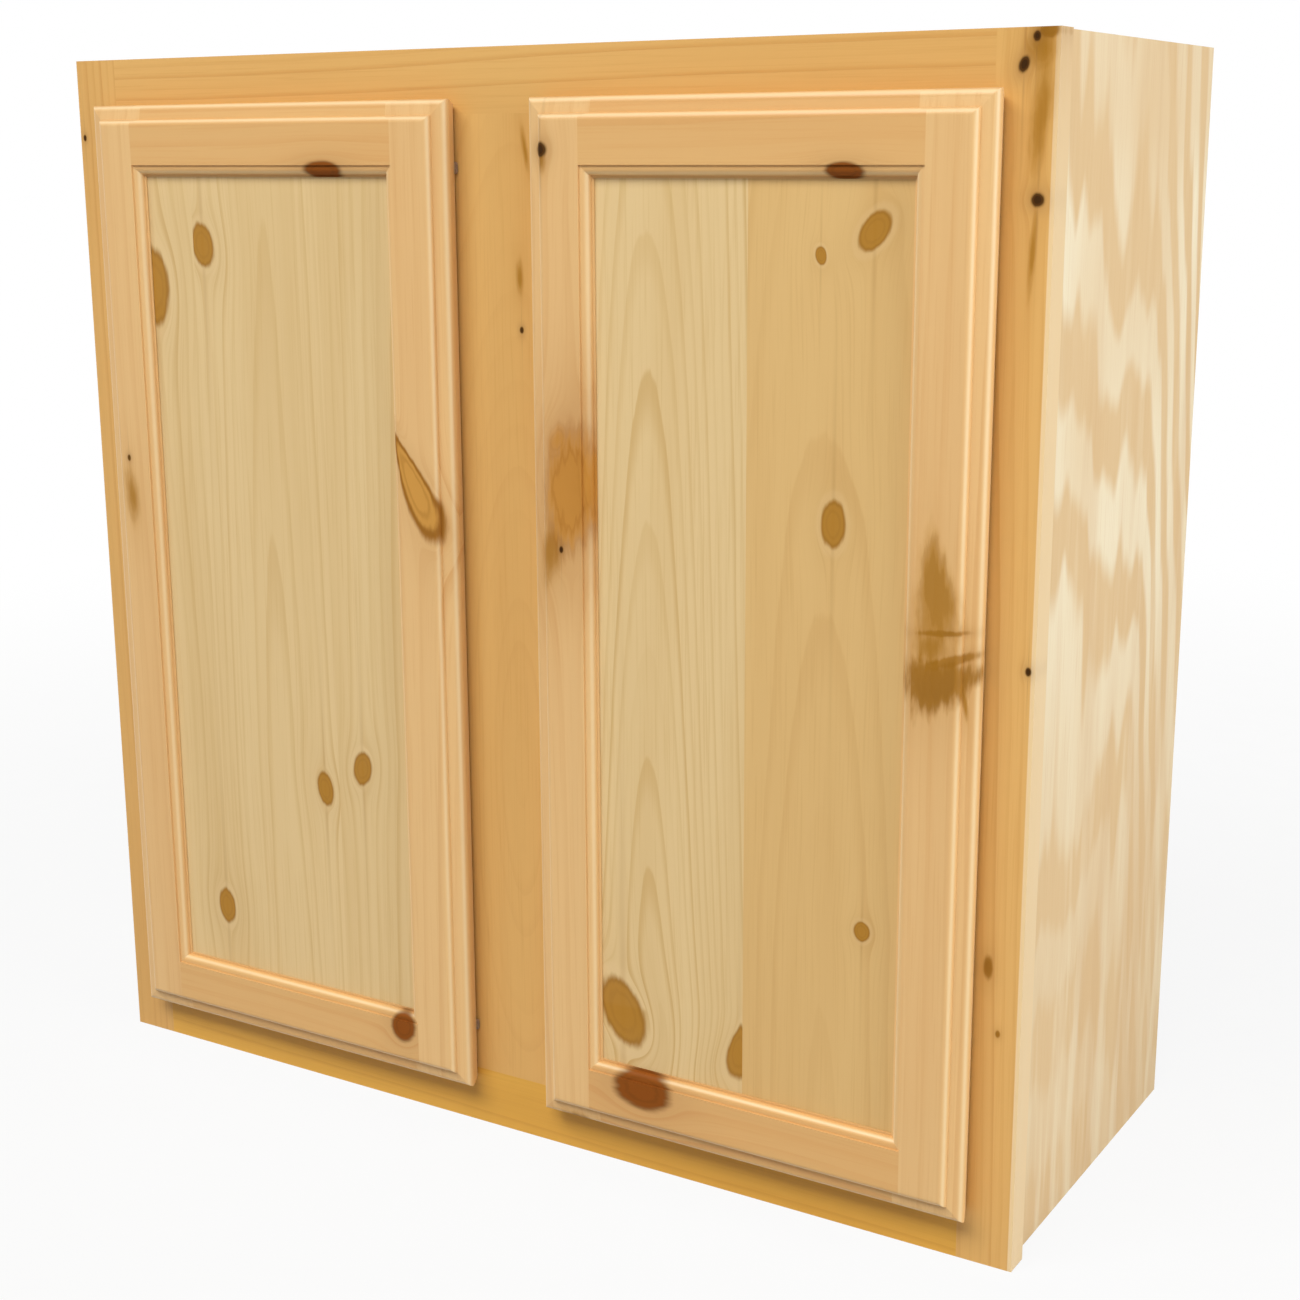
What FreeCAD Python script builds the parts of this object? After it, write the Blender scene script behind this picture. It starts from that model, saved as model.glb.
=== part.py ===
import FreeCAD, Part
import math
import os
import Sketcher

# Two-door wall cabinet in unfinished knotty pine.
# Frame: X to the right seen from the front, Y into the wall, Z up, millimetres.
# The wall is the plane Y = 0 and the origin is the middle of the upper hanging rail.

doc = FreeCAD.newDocument("WallCabinet")
sheet = doc.addObject("Spreadsheet::Sheet", "Sizes")

DRIVING_SIZES = [
    ("cab_width", 762.0, "width across the face frame"),
    ("cab_height", 762.0, "height of the face frame"),
    ("cab_depth", 304.8, "wall to the front of the face frame"),
    ("frame_thick", 19.0, "face frame boards"),
    ("stile_width", 38.0, "outer face frame stiles"),
    ("rail_width", 42.0, "face frame rails"),
    ("centre_width", 84.0, "face frame centre stile"),
    ("side_overhang", 6.0, "face frame beyond the side panels"),
    ("side_thick", 12.7, "side panels"),
    ("deck_thick", 12.7, "top and bottom panels"),
    ("dado_depth", 5.0, "grooves in the carcass panels"),
    ("back_thick", 5.0, "back panel"),
    ("hang_thick", 19.0, "hanging rails"),
    ("hang_height", 70.0, "hanging rails"),
    ("shelf_thick", 16.0, "adjustable shelves"),
    ("shelf_inset", 24.0, "shelf front behind the face frame"),
    ("shelf_play", 1.5, "room at each end of a shelf"),
    ("hole_pitch", 50.0, "spacing of the shelf pin holes"),
    ("hole_radius", 2.5, "shelf pin holes"),
    ("overlay", 9.5, "door over the face frame on every edge"),
    ("door_gap", 2.0, "door back to face frame"),
    ("door_thick", 19.0, "door frame boards"),
    ("member_width", 50.0, "door stiles and rails with their moulding"),
    ("stick_width", 8.0, "moulding on the inner door edges"),
    ("stick_step", 1.2, "small step at the top of the inner moulding"),
    ("stick_radius", 4.8, "quarter round of the inner moulding"),
    ("lip_drop", 5.2, "outer lip below the door face"),
    ("lip_radius", 4.6, "rounded outer lip"),
    ("band_width", 5.8, "sloping band inside the lip"),
    ("step_radius", 4.2, "quarter round between band and door face"),
    ("edge_flat", 0.6, "square edge of the door under the lip"),
    ("edge_undercut", 3.0, "finger pull: door back edge inside the lip"),
    ("panel_thick", 6.35, "door panel boards"),
    ("panel_recess", 7.0, "door panel below the door face"),
    ("groove_depth", 9.5, "panel groove in the door frame"),
    ("cup_radius", 17.5, "hinge cups"),
    ("cup_depth", 11.5, "hinge cups"),
    ("cup_edge", 4.2, "door edge to hinge cup"),
    ("pivot_depth", 7.3, "door back to hinge pin"),
    ("hinge_end", 89.0, "door end to hinge middle"),
    ("tenon_length", 22.0, "face frame tenons"),
    ("tenon_shoulder", 6.0, "shoulder on each edge of a face frame tenon"),
]
for row, (alias, value, _meaning) in enumerate(DRIVING_SIZES, start=1):
    sheet.set("A%d" % row, str(value))
    sheet.setAlias("A%d" % row, alias)
doc.recompute()


class Size:
    """A length written as a sheet expression together with its present value."""

    def __init__(self, text, value):
        self.text = text
        self.value = value

    @staticmethod
    def of(thing):
        return thing if isinstance(thing, Size) else Size("%r" % float(thing), float(thing))

    def __add__(self, other):
        other = Size.of(other)
        return Size("(%s + %s)" % (self.text, other.text), self.value + other.value)

    def __sub__(self, other):
        other = Size.of(other)
        return Size("(%s - %s)" % (self.text, other.text), self.value - other.value)

    def __mul__(self, other):
        other = Size.of(other)
        return Size("(%s * %s)" % (self.text, other.text), self.value * other.value)

    def __radd__(self, other):
        return Size.of(other) + self

    def __rsub__(self, other):
        return Size.of(other) - self

    __rmul__ = __mul__

    def __neg__(self):
        return self * -1


def size(alias):
    return Size("Sizes." + alias, float(sheet.get(alias)))


def root(square):
    return Size("sqrt(%s)" % square.text, math.sqrt(square.value))


def larger(first, second):
    return Size("max(%s; %s)" % (first.text, second.text), max(first.value, second.value))


cab_width, cab_height, cab_depth = size("cab_width"), size("cab_height"), size("cab_depth")
frame_thick, stile_width = size("frame_thick"), size("stile_width")
rail_width, centre_width = size("rail_width"), size("centre_width")
side_overhang, side_thick = size("side_overhang"), size("side_thick")
deck_thick, dado_depth, back_thick = size("deck_thick"), size("dado_depth"), size("back_thick")
hang_thick, hang_height = size("hang_thick"), size("hang_height")
shelf_thick, shelf_inset, shelf_play = size("shelf_thick"), size("shelf_inset"), size("shelf_play")
hole_pitch, hole_radius = size("hole_pitch"), size("hole_radius")
overlay, door_gap, door_thick = size("overlay"), size("door_gap"), size("door_thick")
member_width, stick_width = size("member_width"), size("stick_width")
stick_step, stick_radius = size("stick_step"), size("stick_radius")
lip_drop, lip_radius = size("lip_drop"), size("lip_radius")
band_width, step_radius = size("band_width"), size("step_radius")
edge_flat, edge_undercut = size("edge_flat"), size("edge_undercut")
panel_thick, panel_recess, groove_depth = size("panel_thick"), size("panel_recess"), size("groove_depth")
cup_radius, cup_depth, cup_edge = size("cup_radius"), size("cup_depth"), size("cup_edge")
pivot_depth, hinge_end = size("pivot_depth"), size("hinge_end")
tenon_length, tenon_shoulder = size("tenon_length"), size("tenon_shoulder")

ZERO = Size.of(0)
FIT = 0.05          # close fit of a pin, tenon or screw in its hole
GROOVE_FIT = 0.15   # door panel in its groove, each face
AIR = 0.35          # air between pieces that move past each other

# Main levels
half_width = cab_width * 0.5
floor = hang_height * 0.5 + rail_width - cab_height
ceiling = floor + cab_height
frame_front = -cab_depth
frame_back = frame_thick - cab_depth
side_outer = half_width - side_overhang
side_inner = side_outer - side_thick
deck_top = floor + rail_width
top_under = ceiling - rail_width
stile_inner = half_width - stile_width

nodes = []


def place(thing, at, axes=None):
    """Position by three sizes; axes are the directions of the local X, Y and Z."""
    turn = FreeCAD.Rotation()
    if axes:
        turn = FreeCAD.Rotation(*[FreeCAD.Vector(*axis) for axis in axes], "XYZ")
    at = [Size.of(value) for value in at]
    thing.Placement = FreeCAD.Placement(FreeCAD.Vector(*[value.value for value in at]), turn)
    for letter, value in zip("xyz", at):
        thing.setExpression("Placement.Base." + letter, value.text)
    return thing


def new(kind, label, **lengths):
    thing = doc.addObject(kind, label)
    thing.Label = label
    for name, value in lengths.items():
        thing.setExpression(name, Size.of(value).text)
    return thing


def box(label, lengths, at):
    names = ("Length", "Width", "Height")
    return place(new("Part::Box", label, **dict(zip(names, lengths))), at)


ALONG_X = ((0, 0, -1), (0, 1, 0), (1, 0, 0))
ALONG_MINUS_X = ((0, 0, 1), (0, 1, 0), (-1, 0, 0))
ALONG_MINUS_Y = ((1, 0, 0), (0, 0, 1), (0, -1, 0))
ALONG_Z = ((1, 0, 0), (0, 1, 0), (0, 0, 1))


def rod(label, radius, length, at, axes):
    return place(new("Part::Cylinder", label, Radius=radius, Height=length), at, axes)


def faceted_rod(label, sides, radius, length, at, axes):
    """Rod with flat sides for the many small screws."""
    prism = new("Part::Prism", label, Circumradius=radius, Height=length)
    prism.Polygon = sides
    return place(prism, at, axes)


def group(label, members):
    bundle = doc.addObject("Part::Compound", label)
    bundle.Label = label
    bundle.Links = members
    return bundle


def cut(label, base, tools):
    result = doc.addObject("Part::Cut", label)
    base.Label = label + "_blank"
    result.Label = label
    result.Base = base
    result.Tool = tools[0] if len(tools) == 1 else group(label + "_cutters", tools)
    return result


def fuse(label, members):
    result = doc.addObject("Part::MultiFuse", label)
    result.Label = label
    result.Shapes = members
    return result


def keep(thing):
    nodes.append(thing)
    return thing


def draw(body, name, role, wires):
    """Closed wires with every corner held by sheet sizes; a corner is (x, y) or (x, y, centre, radius)."""
    sketch = body.newObject("Sketcher::SketchObject", name)
    plane = [feature for feature in body.Origin.OriginFeatures if feature.Role == role][0]
    sketch.AttachmentSupport = (plane, "")
    sketch.MapMode = "FlatFace"

    def hold(kind, geometry, point, value):
        on_axis = {"DistanceX": -2, "DistanceY": -1}[kind]
        if value.text == ZERO.text:
            sketch.addConstraint(Sketcher.Constraint("PointOnObject", geometry, point, on_axis))
            return
        index = sketch.addConstraint(Sketcher.Constraint(kind, geometry, point, value.value))
        sketch.setExpression("Constraints[%d]" % index, value.text)

    for wire in wires:
        ends = []
        for corner, following in zip(wire, wire[1:] + wire[:1]):
            start = FreeCAD.Vector(corner[0].value, corner[1].value, 0)
            end = FreeCAD.Vector(following[0].value, following[1].value, 0)
            if len(corner) == 2:
                ends.append((sketch.addGeometry(Part.LineSegment(start, end)), 1, 2, None))
                continue
            middle = FreeCAD.Vector(corner[2][0].value, corner[2][1].value, 0)
            first = math.atan2(start.y - middle.y, start.x - middle.x)
            last = math.atan2(end.y - middle.y, end.x - middle.x)
            circle = Part.Circle(middle, FreeCAD.Vector(0, 0, 1), corner[3].value)
            forward = (last - first) % (2 * math.pi) < math.pi
            arc = Part.ArcOfCircle(circle, first, last) if forward else Part.ArcOfCircle(circle, last, first)
            order = (1, 2) if forward else (2, 1)
            ends.append((sketch.addGeometry(arc), order[0], order[1], corner[3]))
        for number, (geometry, start, _end, radius) in enumerate(ends):
            before = ends[number - 1]
            sketch.addConstraint(Sketcher.Constraint("Coincident", before[0], before[2], geometry, start))
            hold("DistanceX", geometry, start, wire[number][0])
            hold("DistanceY", geometry, start, wire[number][1])
            if radius is not None:
                index = sketch.addConstraint(Sketcher.Constraint("Radius", geometry, radius.value))
                sketch.setExpression("Constraints[%d]" % index, radius.text)
    return sketch


# Carcass panels

side_depth = cab_depth - frame_thick
side_levels = [deck_top - deck_thick, top_under]
back_face = hang_thick + back_thick
PIN_ROWS = (0, 1, 5, 6)  # two places for each shelf, in steps of the hole spacing
FIRST_PIN = 140.0        # lowest pin holes above the bottom panel
REAR_PIN = 35.0          # rear pin holes from the back panel
FRONT_PIN = 45.0         # front pin holes from the shelf front
PIN_HOLE_DEPTH = 9.0
pin_first = deck_top + FIRST_PIN
pin_columns = [-(back_face + REAR_PIN), frame_back + shelf_inset + FRONT_PIN]

for sign, hand in ((-1, "left"), (1, "right")):
    label = hand + "_side_panel"
    inner_face = side_inner * sign
    outer_x = side_outer * -1 if sign < 0 else side_inner
    blank = box(label + "_board", (side_thick, side_depth, cab_height), (outer_x, -side_depth, floor))
    groove_x = inner_face - dado_depth if sign < 0 else inner_face
    tools = [box(label + "_dado_%d" % number, (dado_depth, side_depth, deck_thick),
                 (groove_x, -side_depth, level)) for number, level in enumerate(side_levels)]
    tools.append(box(label + "_back_groove", (dado_depth, back_thick, cab_height),
                     (groove_x, -back_face, floor)))
    inward = ALONG_X if sign > 0 else ALONG_MINUS_X
    for column, depth in enumerate(pin_columns):
        for row in PIN_ROWS:
            level = pin_first + hole_pitch * row
            tools.append(rod(label + "_hole_%d_%d" % (column, row), hole_radius + FIT, PIN_HOLE_DEPTH,
                             (inner_face, depth, level), inward))
    keep(cut(label, blank, tools))

deck_length = (side_inner + dado_depth) * 2
for label, level, groove_level in (("bottom_panel", side_levels[0], deck_top - dado_depth),
                                   ("top_panel", side_levels[1], top_under)):
    blank = box(label + "_board", (deck_length, side_depth, deck_thick),
                (deck_length * -0.5, -side_depth, level))
    groove = box(label + "_groove", (deck_length, back_thick, dado_depth),
                 (deck_length * -0.5, -back_face, groove_level))
    keep(cut(label, blank, [groove]))

back_height = top_under - deck_top + dado_depth * 2
keep(box("back_panel", (deck_length, back_thick, back_height),
         (deck_length * -0.5, -back_face, deck_top - dado_depth)))
for label, level in (("upper_hanging_rail", top_under - hang_height), ("lower_hanging_rail", deck_top)):
    keep(box(label, (side_inner * 2, hang_thick, hang_height), (-side_inner, -hang_thick, level)))

# Face frame: full height stiles, rails between them and a centre stile between the rails

opening_height = cab_height - rail_width * 2
rail_length = stile_inner * 2
centre_half = centre_width * 0.5
TENON_SHARE = 1 / 3      # tenon thickness as a share of the board
tenon_thick = frame_thick * TENON_SHARE
tenon_y = frame_front + (frame_thick - tenon_thick) * 0.5
tenon_height = rail_width - tenon_shoulder * 2
tenon_width = centre_width - tenon_shoulder * 2
tenons = {"left_stile": [], "right_stile": [], "bottom_rail": [], "top_rail": [], "centre_stile": []}
holes = {name: [] for name in tenons}


def tenon(label, wood, lengths, at):
    """A tenon on one board and the mortise for it, a close fit all round, in the other."""
    board, other = wood
    tenons[board].append(box(label, lengths, at))
    holes[other].append(box(label + "_mortise", [length + FIT * 2 for length in lengths],
                            [start - FIT for start in at]))


for rail, level, inside in (("bottom_rail", floor, deck_top), ("top_rail", top_under, top_under)):
    for stile, end in (("left_stile", -stile_inner - tenon_length), ("right_stile", stile_inner)):
        tenon("%s_%s_tenon" % (rail, stile), (rail, stile), (tenon_length, tenon_thick, tenon_height),
              (end, tenon_y, level + tenon_shoulder))
    start = inside - tenon_length if rail == "bottom_rail" else inside
    tenon("centre_%s_tenon" % rail, ("centre_stile", rail), (tenon_width, tenon_thick, tenon_length),
          (tenon_width * -0.5, tenon_y, start))

# Concealed hinges: a hooked arm on the stile edge turns on a pin across a cup in the door.
# The hook runs round the door's back corner and the cup rim with air to spare.
# Places are given outward from the stile edge and forward from the face frame.

SCREW_SHANK = 1.8
SCREW_HEAD = 3.4
SCREW_LENGTH = 14.0
SCREW_HEAD_THICK = 1.2
SHANK_SIDES = 8
HEAD_SIDES = 16
PLATE_THICK = 2.0
PLATE_HALF = 24.0        # half height of the plate on the stile edge
PLATE_MARGIN = 0.9       # stile edge left free in front of and behind the plate
PLATE_SCREW = 15.0       # plate screws above and below the hinge middle
ARM_THICK = 1.5
ARM_HALF = 4.0           # half height of the hooked arm
EYE_RADIUS = 1.5         # end of the arm round the pin
HINGE_PIN_RADIUS = 0.9
HINGE_PIN_HALF = 8.6
NECK_ANGLE = 170.0       # from the pin into the cup, counted from outward towards forward
HOOK_START = 166.0
HOOK_TURN = 104.0        # the hook runs round the door's back edge to the face frame
FOOT_BACK = 2.0          # root of the hook on the plate
FOOT_FRONT = 0.3
CUP_WALL = 1.0
FLANGE_THICK = 1.0       # cup rim and flange behind the door's back
cup_centre = overlay - cup_edge - cup_radius
cup_inside = cup_radius - CUP_WALL
pivot_offset = root(cup_inside * cup_inside - ARM_HALF * ARM_HALF) - EYE_RADIUS - AIR
pivot_out = cup_centre + pivot_offset
pivot_forward = door_gap + pivot_depth
corner_out = overlay - edge_undercut - pivot_out
corner_reach = root(corner_out * corner_out + pivot_depth * pivot_depth)
rim_out = cup_radius - pivot_offset
rim_depth = pivot_depth + FLANGE_THICK
rim_reach = root(rim_out * rim_out + rim_depth * rim_depth)
hook_inner = larger(corner_reach, rim_reach) + AIR
hook_outer = hook_inner + ARM_THICK
door_height = opening_height + overlay * 2
door_bottom = deck_top - overlay
door_top = top_under + overlay
hinge_levels = [door_bottom + hinge_end, door_top - hinge_end]


def across(sign, outward):
    """X of a point that lies outward of the stile edge on the left or the right."""
    return (stile_inner + outward) * sign


def hinge_box(label, sign, outward, forward, levels):
    """Box between two distances outward, two forward and two levels."""
    low, high = outward if sign > 0 else (outward[1], outward[0])
    start = across(sign, low)
    lengths = (across(sign, high) - start, forward[1] - forward[0], levels[1] - levels[0])
    return box(label, lengths, (start, frame_front - forward[1], levels[0]))


def hinge_axes(sign, angle):
    """Local axes that start at an angle counted from outward towards forward."""
    turn = math.radians(angle)
    along = (sign * math.cos(turn), -math.sin(turn), 0)
    beside = (-sign * math.sin(turn), -math.cos(turn), 0)
    return along, beside, (0, 0, -sign)


def screw(label, at, axes, under_head, head_thick):
    """Flat headed screw: the head starts at the given place, the shank points along the axis."""
    head = faceted_rod(label + "_head", HEAD_SIDES, SCREW_HEAD, head_thick, at, axes)
    shank = faceted_rod(label + "_shank", SHANK_SIDES, SCREW_SHANK, SCREW_LENGTH, under_head, axes)
    return fuse(label, [head, shank])


def screw_bore(label, under_head, axes):
    """Hole for the shank in the wood and the metal."""
    return faceted_rod(label + "_bore", SHANK_SIDES, SCREW_SHANK + FIT, SCREW_LENGTH + FIT, under_head, axes)


def hooked_arm(label, sign, level):
    """Plate, foot, hook, neck and eye of one hinge arm, without its holes."""
    arm_height = 2 * ARM_HALF
    pivot = (across(sign, pivot_out), frame_front - pivot_forward, level + ARM_HALF * sign)
    plate = hinge_box(label + "_plate", sign, (-PLATE_THICK, 0), (PLATE_MARGIN - frame_thick, -PLATE_MARGIN),
                      (level - PLATE_HALF, level + PLATE_HALF))
    foot = hinge_box(label + "_foot", sign, (-PLATE_THICK, 0), (-FOOT_BACK, FOOT_FRONT),
                     (level - ARM_HALF, level + ARM_HALF))
    disc = rod(label + "_disc", hook_outer, arm_height, pivot, hinge_axes(sign, HOOK_START))
    disc.Angle = HOOK_TURN
    space = rod(label + "_space", hook_inner, arm_height, pivot, hinge_axes(sign, HOOK_START))
    before_stile = hinge_box(label + "_before_stile", sign, (0, hook_outer), (-frame_thick, door_gap),
                             (level - ARM_HALF, level + ARM_HALF))
    hook = cut(label + "_hook", disc, [space, before_stile])
    turn = math.radians(NECK_ANGLE)
    half = ARM_THICK * 0.5
    neck = new("Part::Box", label + "_neck", Length=hook_inner + half, Width=ARM_THICK, Height=arm_height)
    place(neck, (pivot[0] + sign * half * math.sin(turn), pivot[1] + half * math.cos(turn), pivot[2]),
          hinge_axes(sign, NECK_ANGLE))
    eye = rod(label + "_eye", EYE_RADIUS, arm_height, pivot, hinge_axes(sign, NECK_ANGLE))
    return fuse(label + "_body", [plate, foot, hook, neck, eye])


for sign, hand in ((-1, "left"), (1, "right")):
    stile = hand + "_stile"
    outward_axis = ALONG_X if sign > 0 else ALONG_MINUS_X
    arms, screws = [], []
    for number, level in enumerate(hinge_levels):
        name = "%s_hinge_arm_%d" % (hand, number)
        pin_at = (across(sign, pivot_out), frame_front - pivot_forward, level - HINGE_PIN_HALF)
        bores = [rod(name + "_pin_hole", HINGE_PIN_RADIUS + FIT, 2 * HINGE_PIN_HALF, pin_at, ALONG_Z)]
        for step in (-1, 1):
            spot = level + PLATE_SCREW * step
            depth = frame_front + frame_thick * 0.5
            at = (across(sign, -PLATE_THICK - SCREW_HEAD_THICK), depth, spot)
            under = (across(sign, -PLATE_THICK), depth, spot)
            screw_name = "%s_plate_screw_%d_%d" % (hand, number, step > 0)
            screws.append(screw(screw_name, at, outward_axis, under, SCREW_HEAD_THICK))
            bore = screw_bore(screw_name, under, outward_axis)
            bores.append(bore)
            holes[stile].append(bore)
        arms.append(cut(name, hooked_arm(name, sign, level), bores))
    keep(group(hand + "_hinge_arms", arms))
    keep(group(hand + "_hinge_plate_screws", screws))

frame_boards = [
    ("left_stile", (stile_width, cab_height), (-half_width, floor)),
    ("right_stile", (stile_width, cab_height), (stile_inner, floor)),
    ("bottom_rail", (rail_length, rail_width), (-stile_inner, floor)),
    ("top_rail", (rail_length, rail_width), (-stile_inner, top_under)),
    ("centre_stile", (centre_width, opening_height), (-centre_half, deck_top)),
]
for name, (width, height), (x, z) in frame_boards:
    blank = box("frame_%s_board" % name, (width, frame_thick, height), (x, frame_front, z))
    if tenons[name]:
        blank = fuse("frame_" + name, [blank] + tenons[name])
    keep(cut("frame_" + name, blank, holes[name]) if holes[name] else blank)

# Adjustable shelves on their pins

shelf_length = (side_inner - shelf_play) * 2
SHELF_BACK_PLAY = 2.0
shelf_depth = side_depth - back_face - shelf_inset - SHELF_BACK_PLAY
PIN_LENGTH = 17.0
PIN_END_PLAY = 0.5
SHELF_ROWS = (("lower_shelf", 1), ("upper_shelf", 6))
for label, row in SHELF_ROWS:
    pin_level = pin_first + hole_pitch * row
    under = pin_level + hole_radius + AIR
    keep(box(label, (shelf_length, shelf_depth, shelf_thick),
             (shelf_length * -0.5, frame_back + shelf_inset, under)))
    pins = []
    for sign, hand in ((-1, "left"), (1, "right")):
        for column, depth in enumerate(pin_columns):
            inward = ALONG_MINUS_X if sign > 0 else ALONG_X
            start = (side_inner + PIN_HOLE_DEPTH - PIN_END_PLAY) * sign
            pins.append(rod("%s_pin_%s_%d" % (label, hand, column), hole_radius, PIN_LENGTH,
                            (start, depth, pin_level), inward))
    keep(group(label + "_pins", pins))

# Door frame members: one cross-section with the outer moulding, the inner moulding and the panel groove

lip_level = door_thick - lip_drop
band_level = door_thick - step_radius
band_end = lip_radius + band_width
face_edge = member_width - stick_width
stick_level = door_thick - stick_step
quarter_end = face_edge + (stick_width - stick_radius) * 0.5
panel_level = door_thick - panel_recess
groove_top = panel_level + GROOVE_FIT
groove_bottom = panel_level - panel_thick - GROOVE_FIT
groove_floor = member_width - groove_depth

outer_mould = [
    (ZERO, lip_level - lip_radius, (lip_radius, lip_level - lip_radius), lip_radius),
    (lip_radius, lip_level),
    (band_end, band_level, (band_end + step_radius, band_level), step_radius),
    (band_end + step_radius, door_thick),
]
pull_level = lip_level - lip_radius - edge_flat
member_section = [(edge_undercut, ZERO), (ZERO, pull_level)] + outer_mould + [
    (face_edge, door_thick),
    (face_edge, stick_level),
    (quarter_end, stick_level, (quarter_end, stick_level - stick_radius), stick_radius),
    (quarter_end + stick_radius, stick_level - stick_radius),
    (member_width, stick_level - stick_radius),
    (member_width, groove_top),
    (groove_floor, groove_top),
    (groove_floor, groove_bottom),
    (member_width, groove_bottom),
    (member_width, ZERO),
]


def end_waste(length):
    """Wood removed from both ends of a stile so that the outer moulding runs round the door."""
    wires = []
    for near in (True, False):
        def turned(x, y):
            return y, x if near else length - x
        front = []
        for corner in outer_mould:
            arc = (turned(*corner[2]), corner[3]) if len(corner) > 2 else ()
            front.append(turned(*corner[:2]) + arc)
        wires.append(front + [turned(ZERO, door_thick)])
        wires.append([turned(ZERO, ZERO), turned(ZERO, pull_level), turned(edge_undercut, ZERO)])
    return wires


def member(label, length, at, axes, moulded_ends):
    body = doc.addObject("PartDesign::Body", label)
    body.Label = label
    section = draw(body, label + "_section", "XY_Plane", [member_section])
    run = body.newObject("PartDesign::Pad", label + "_run")
    run.Profile = section
    run.setExpression("Length", length.text)
    body.Tip = run
    if moulded_ends:
        waste = draw(body, label + "_end_waste", "YZ_Plane", end_waste(length))
        pocket = body.newObject("PartDesign::Pocket", label + "_ends")
        pocket.Profile = waste
        pocket.Type = "ThroughAll"
        pocket.Reversed = True
        body.Tip = pocket
    return place(body, at, axes)


RIGHT_EDGE = ((-1, 0, 0), (0, -1, 0), (0, 0, 1))
LEFT_EDGE = ((1, 0, 0), (0, -1, 0), (0, 0, -1))
TOP_EDGE = ((0, 0, -1), (0, -1, 0), (-1, 0, 0))
BOTTOM_EDGE = ((0, 0, 1), (0, -1, 0), (1, 0, 0))

door_width = stile_inner - centre_half + overlay * 2
door_outer = stile_inner + overlay
door_inner = centre_half - overlay
door_back = frame_front - door_gap
rail_run = door_width - groove_floor * 2
PANEL_PLAY = 1.5
panel_width = rail_run - PANEL_PLAY * 2
panel_height = door_height - groove_floor * 2 - PANEL_PLAY * 2
panel_back = door_back - panel_level

# Widths of the glued boards of each panel, left to right seen from the front
BOARD_SHARES = {"left": (0.21, 0.49, 0.30), "right": (0.5, 0.5)}

CUP_HEAD_THICK = 0.8     # cup screw heads
FLANGE_HALF = 26.0       # half height of the cup flange
FLANGE_INWARD = 9.0      # flange on each side of the cup centre
FLANGE_OUTWARD = 13.0
CUP_SCREW = 22.0         # cup screws above and below the hinge middle
PAD_SIDE = 8.0           # square felt pads
PAD_INSET = 1.0          # pad from the door's free edge
PAD_END = 40.0           # pad from the door's end

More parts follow.
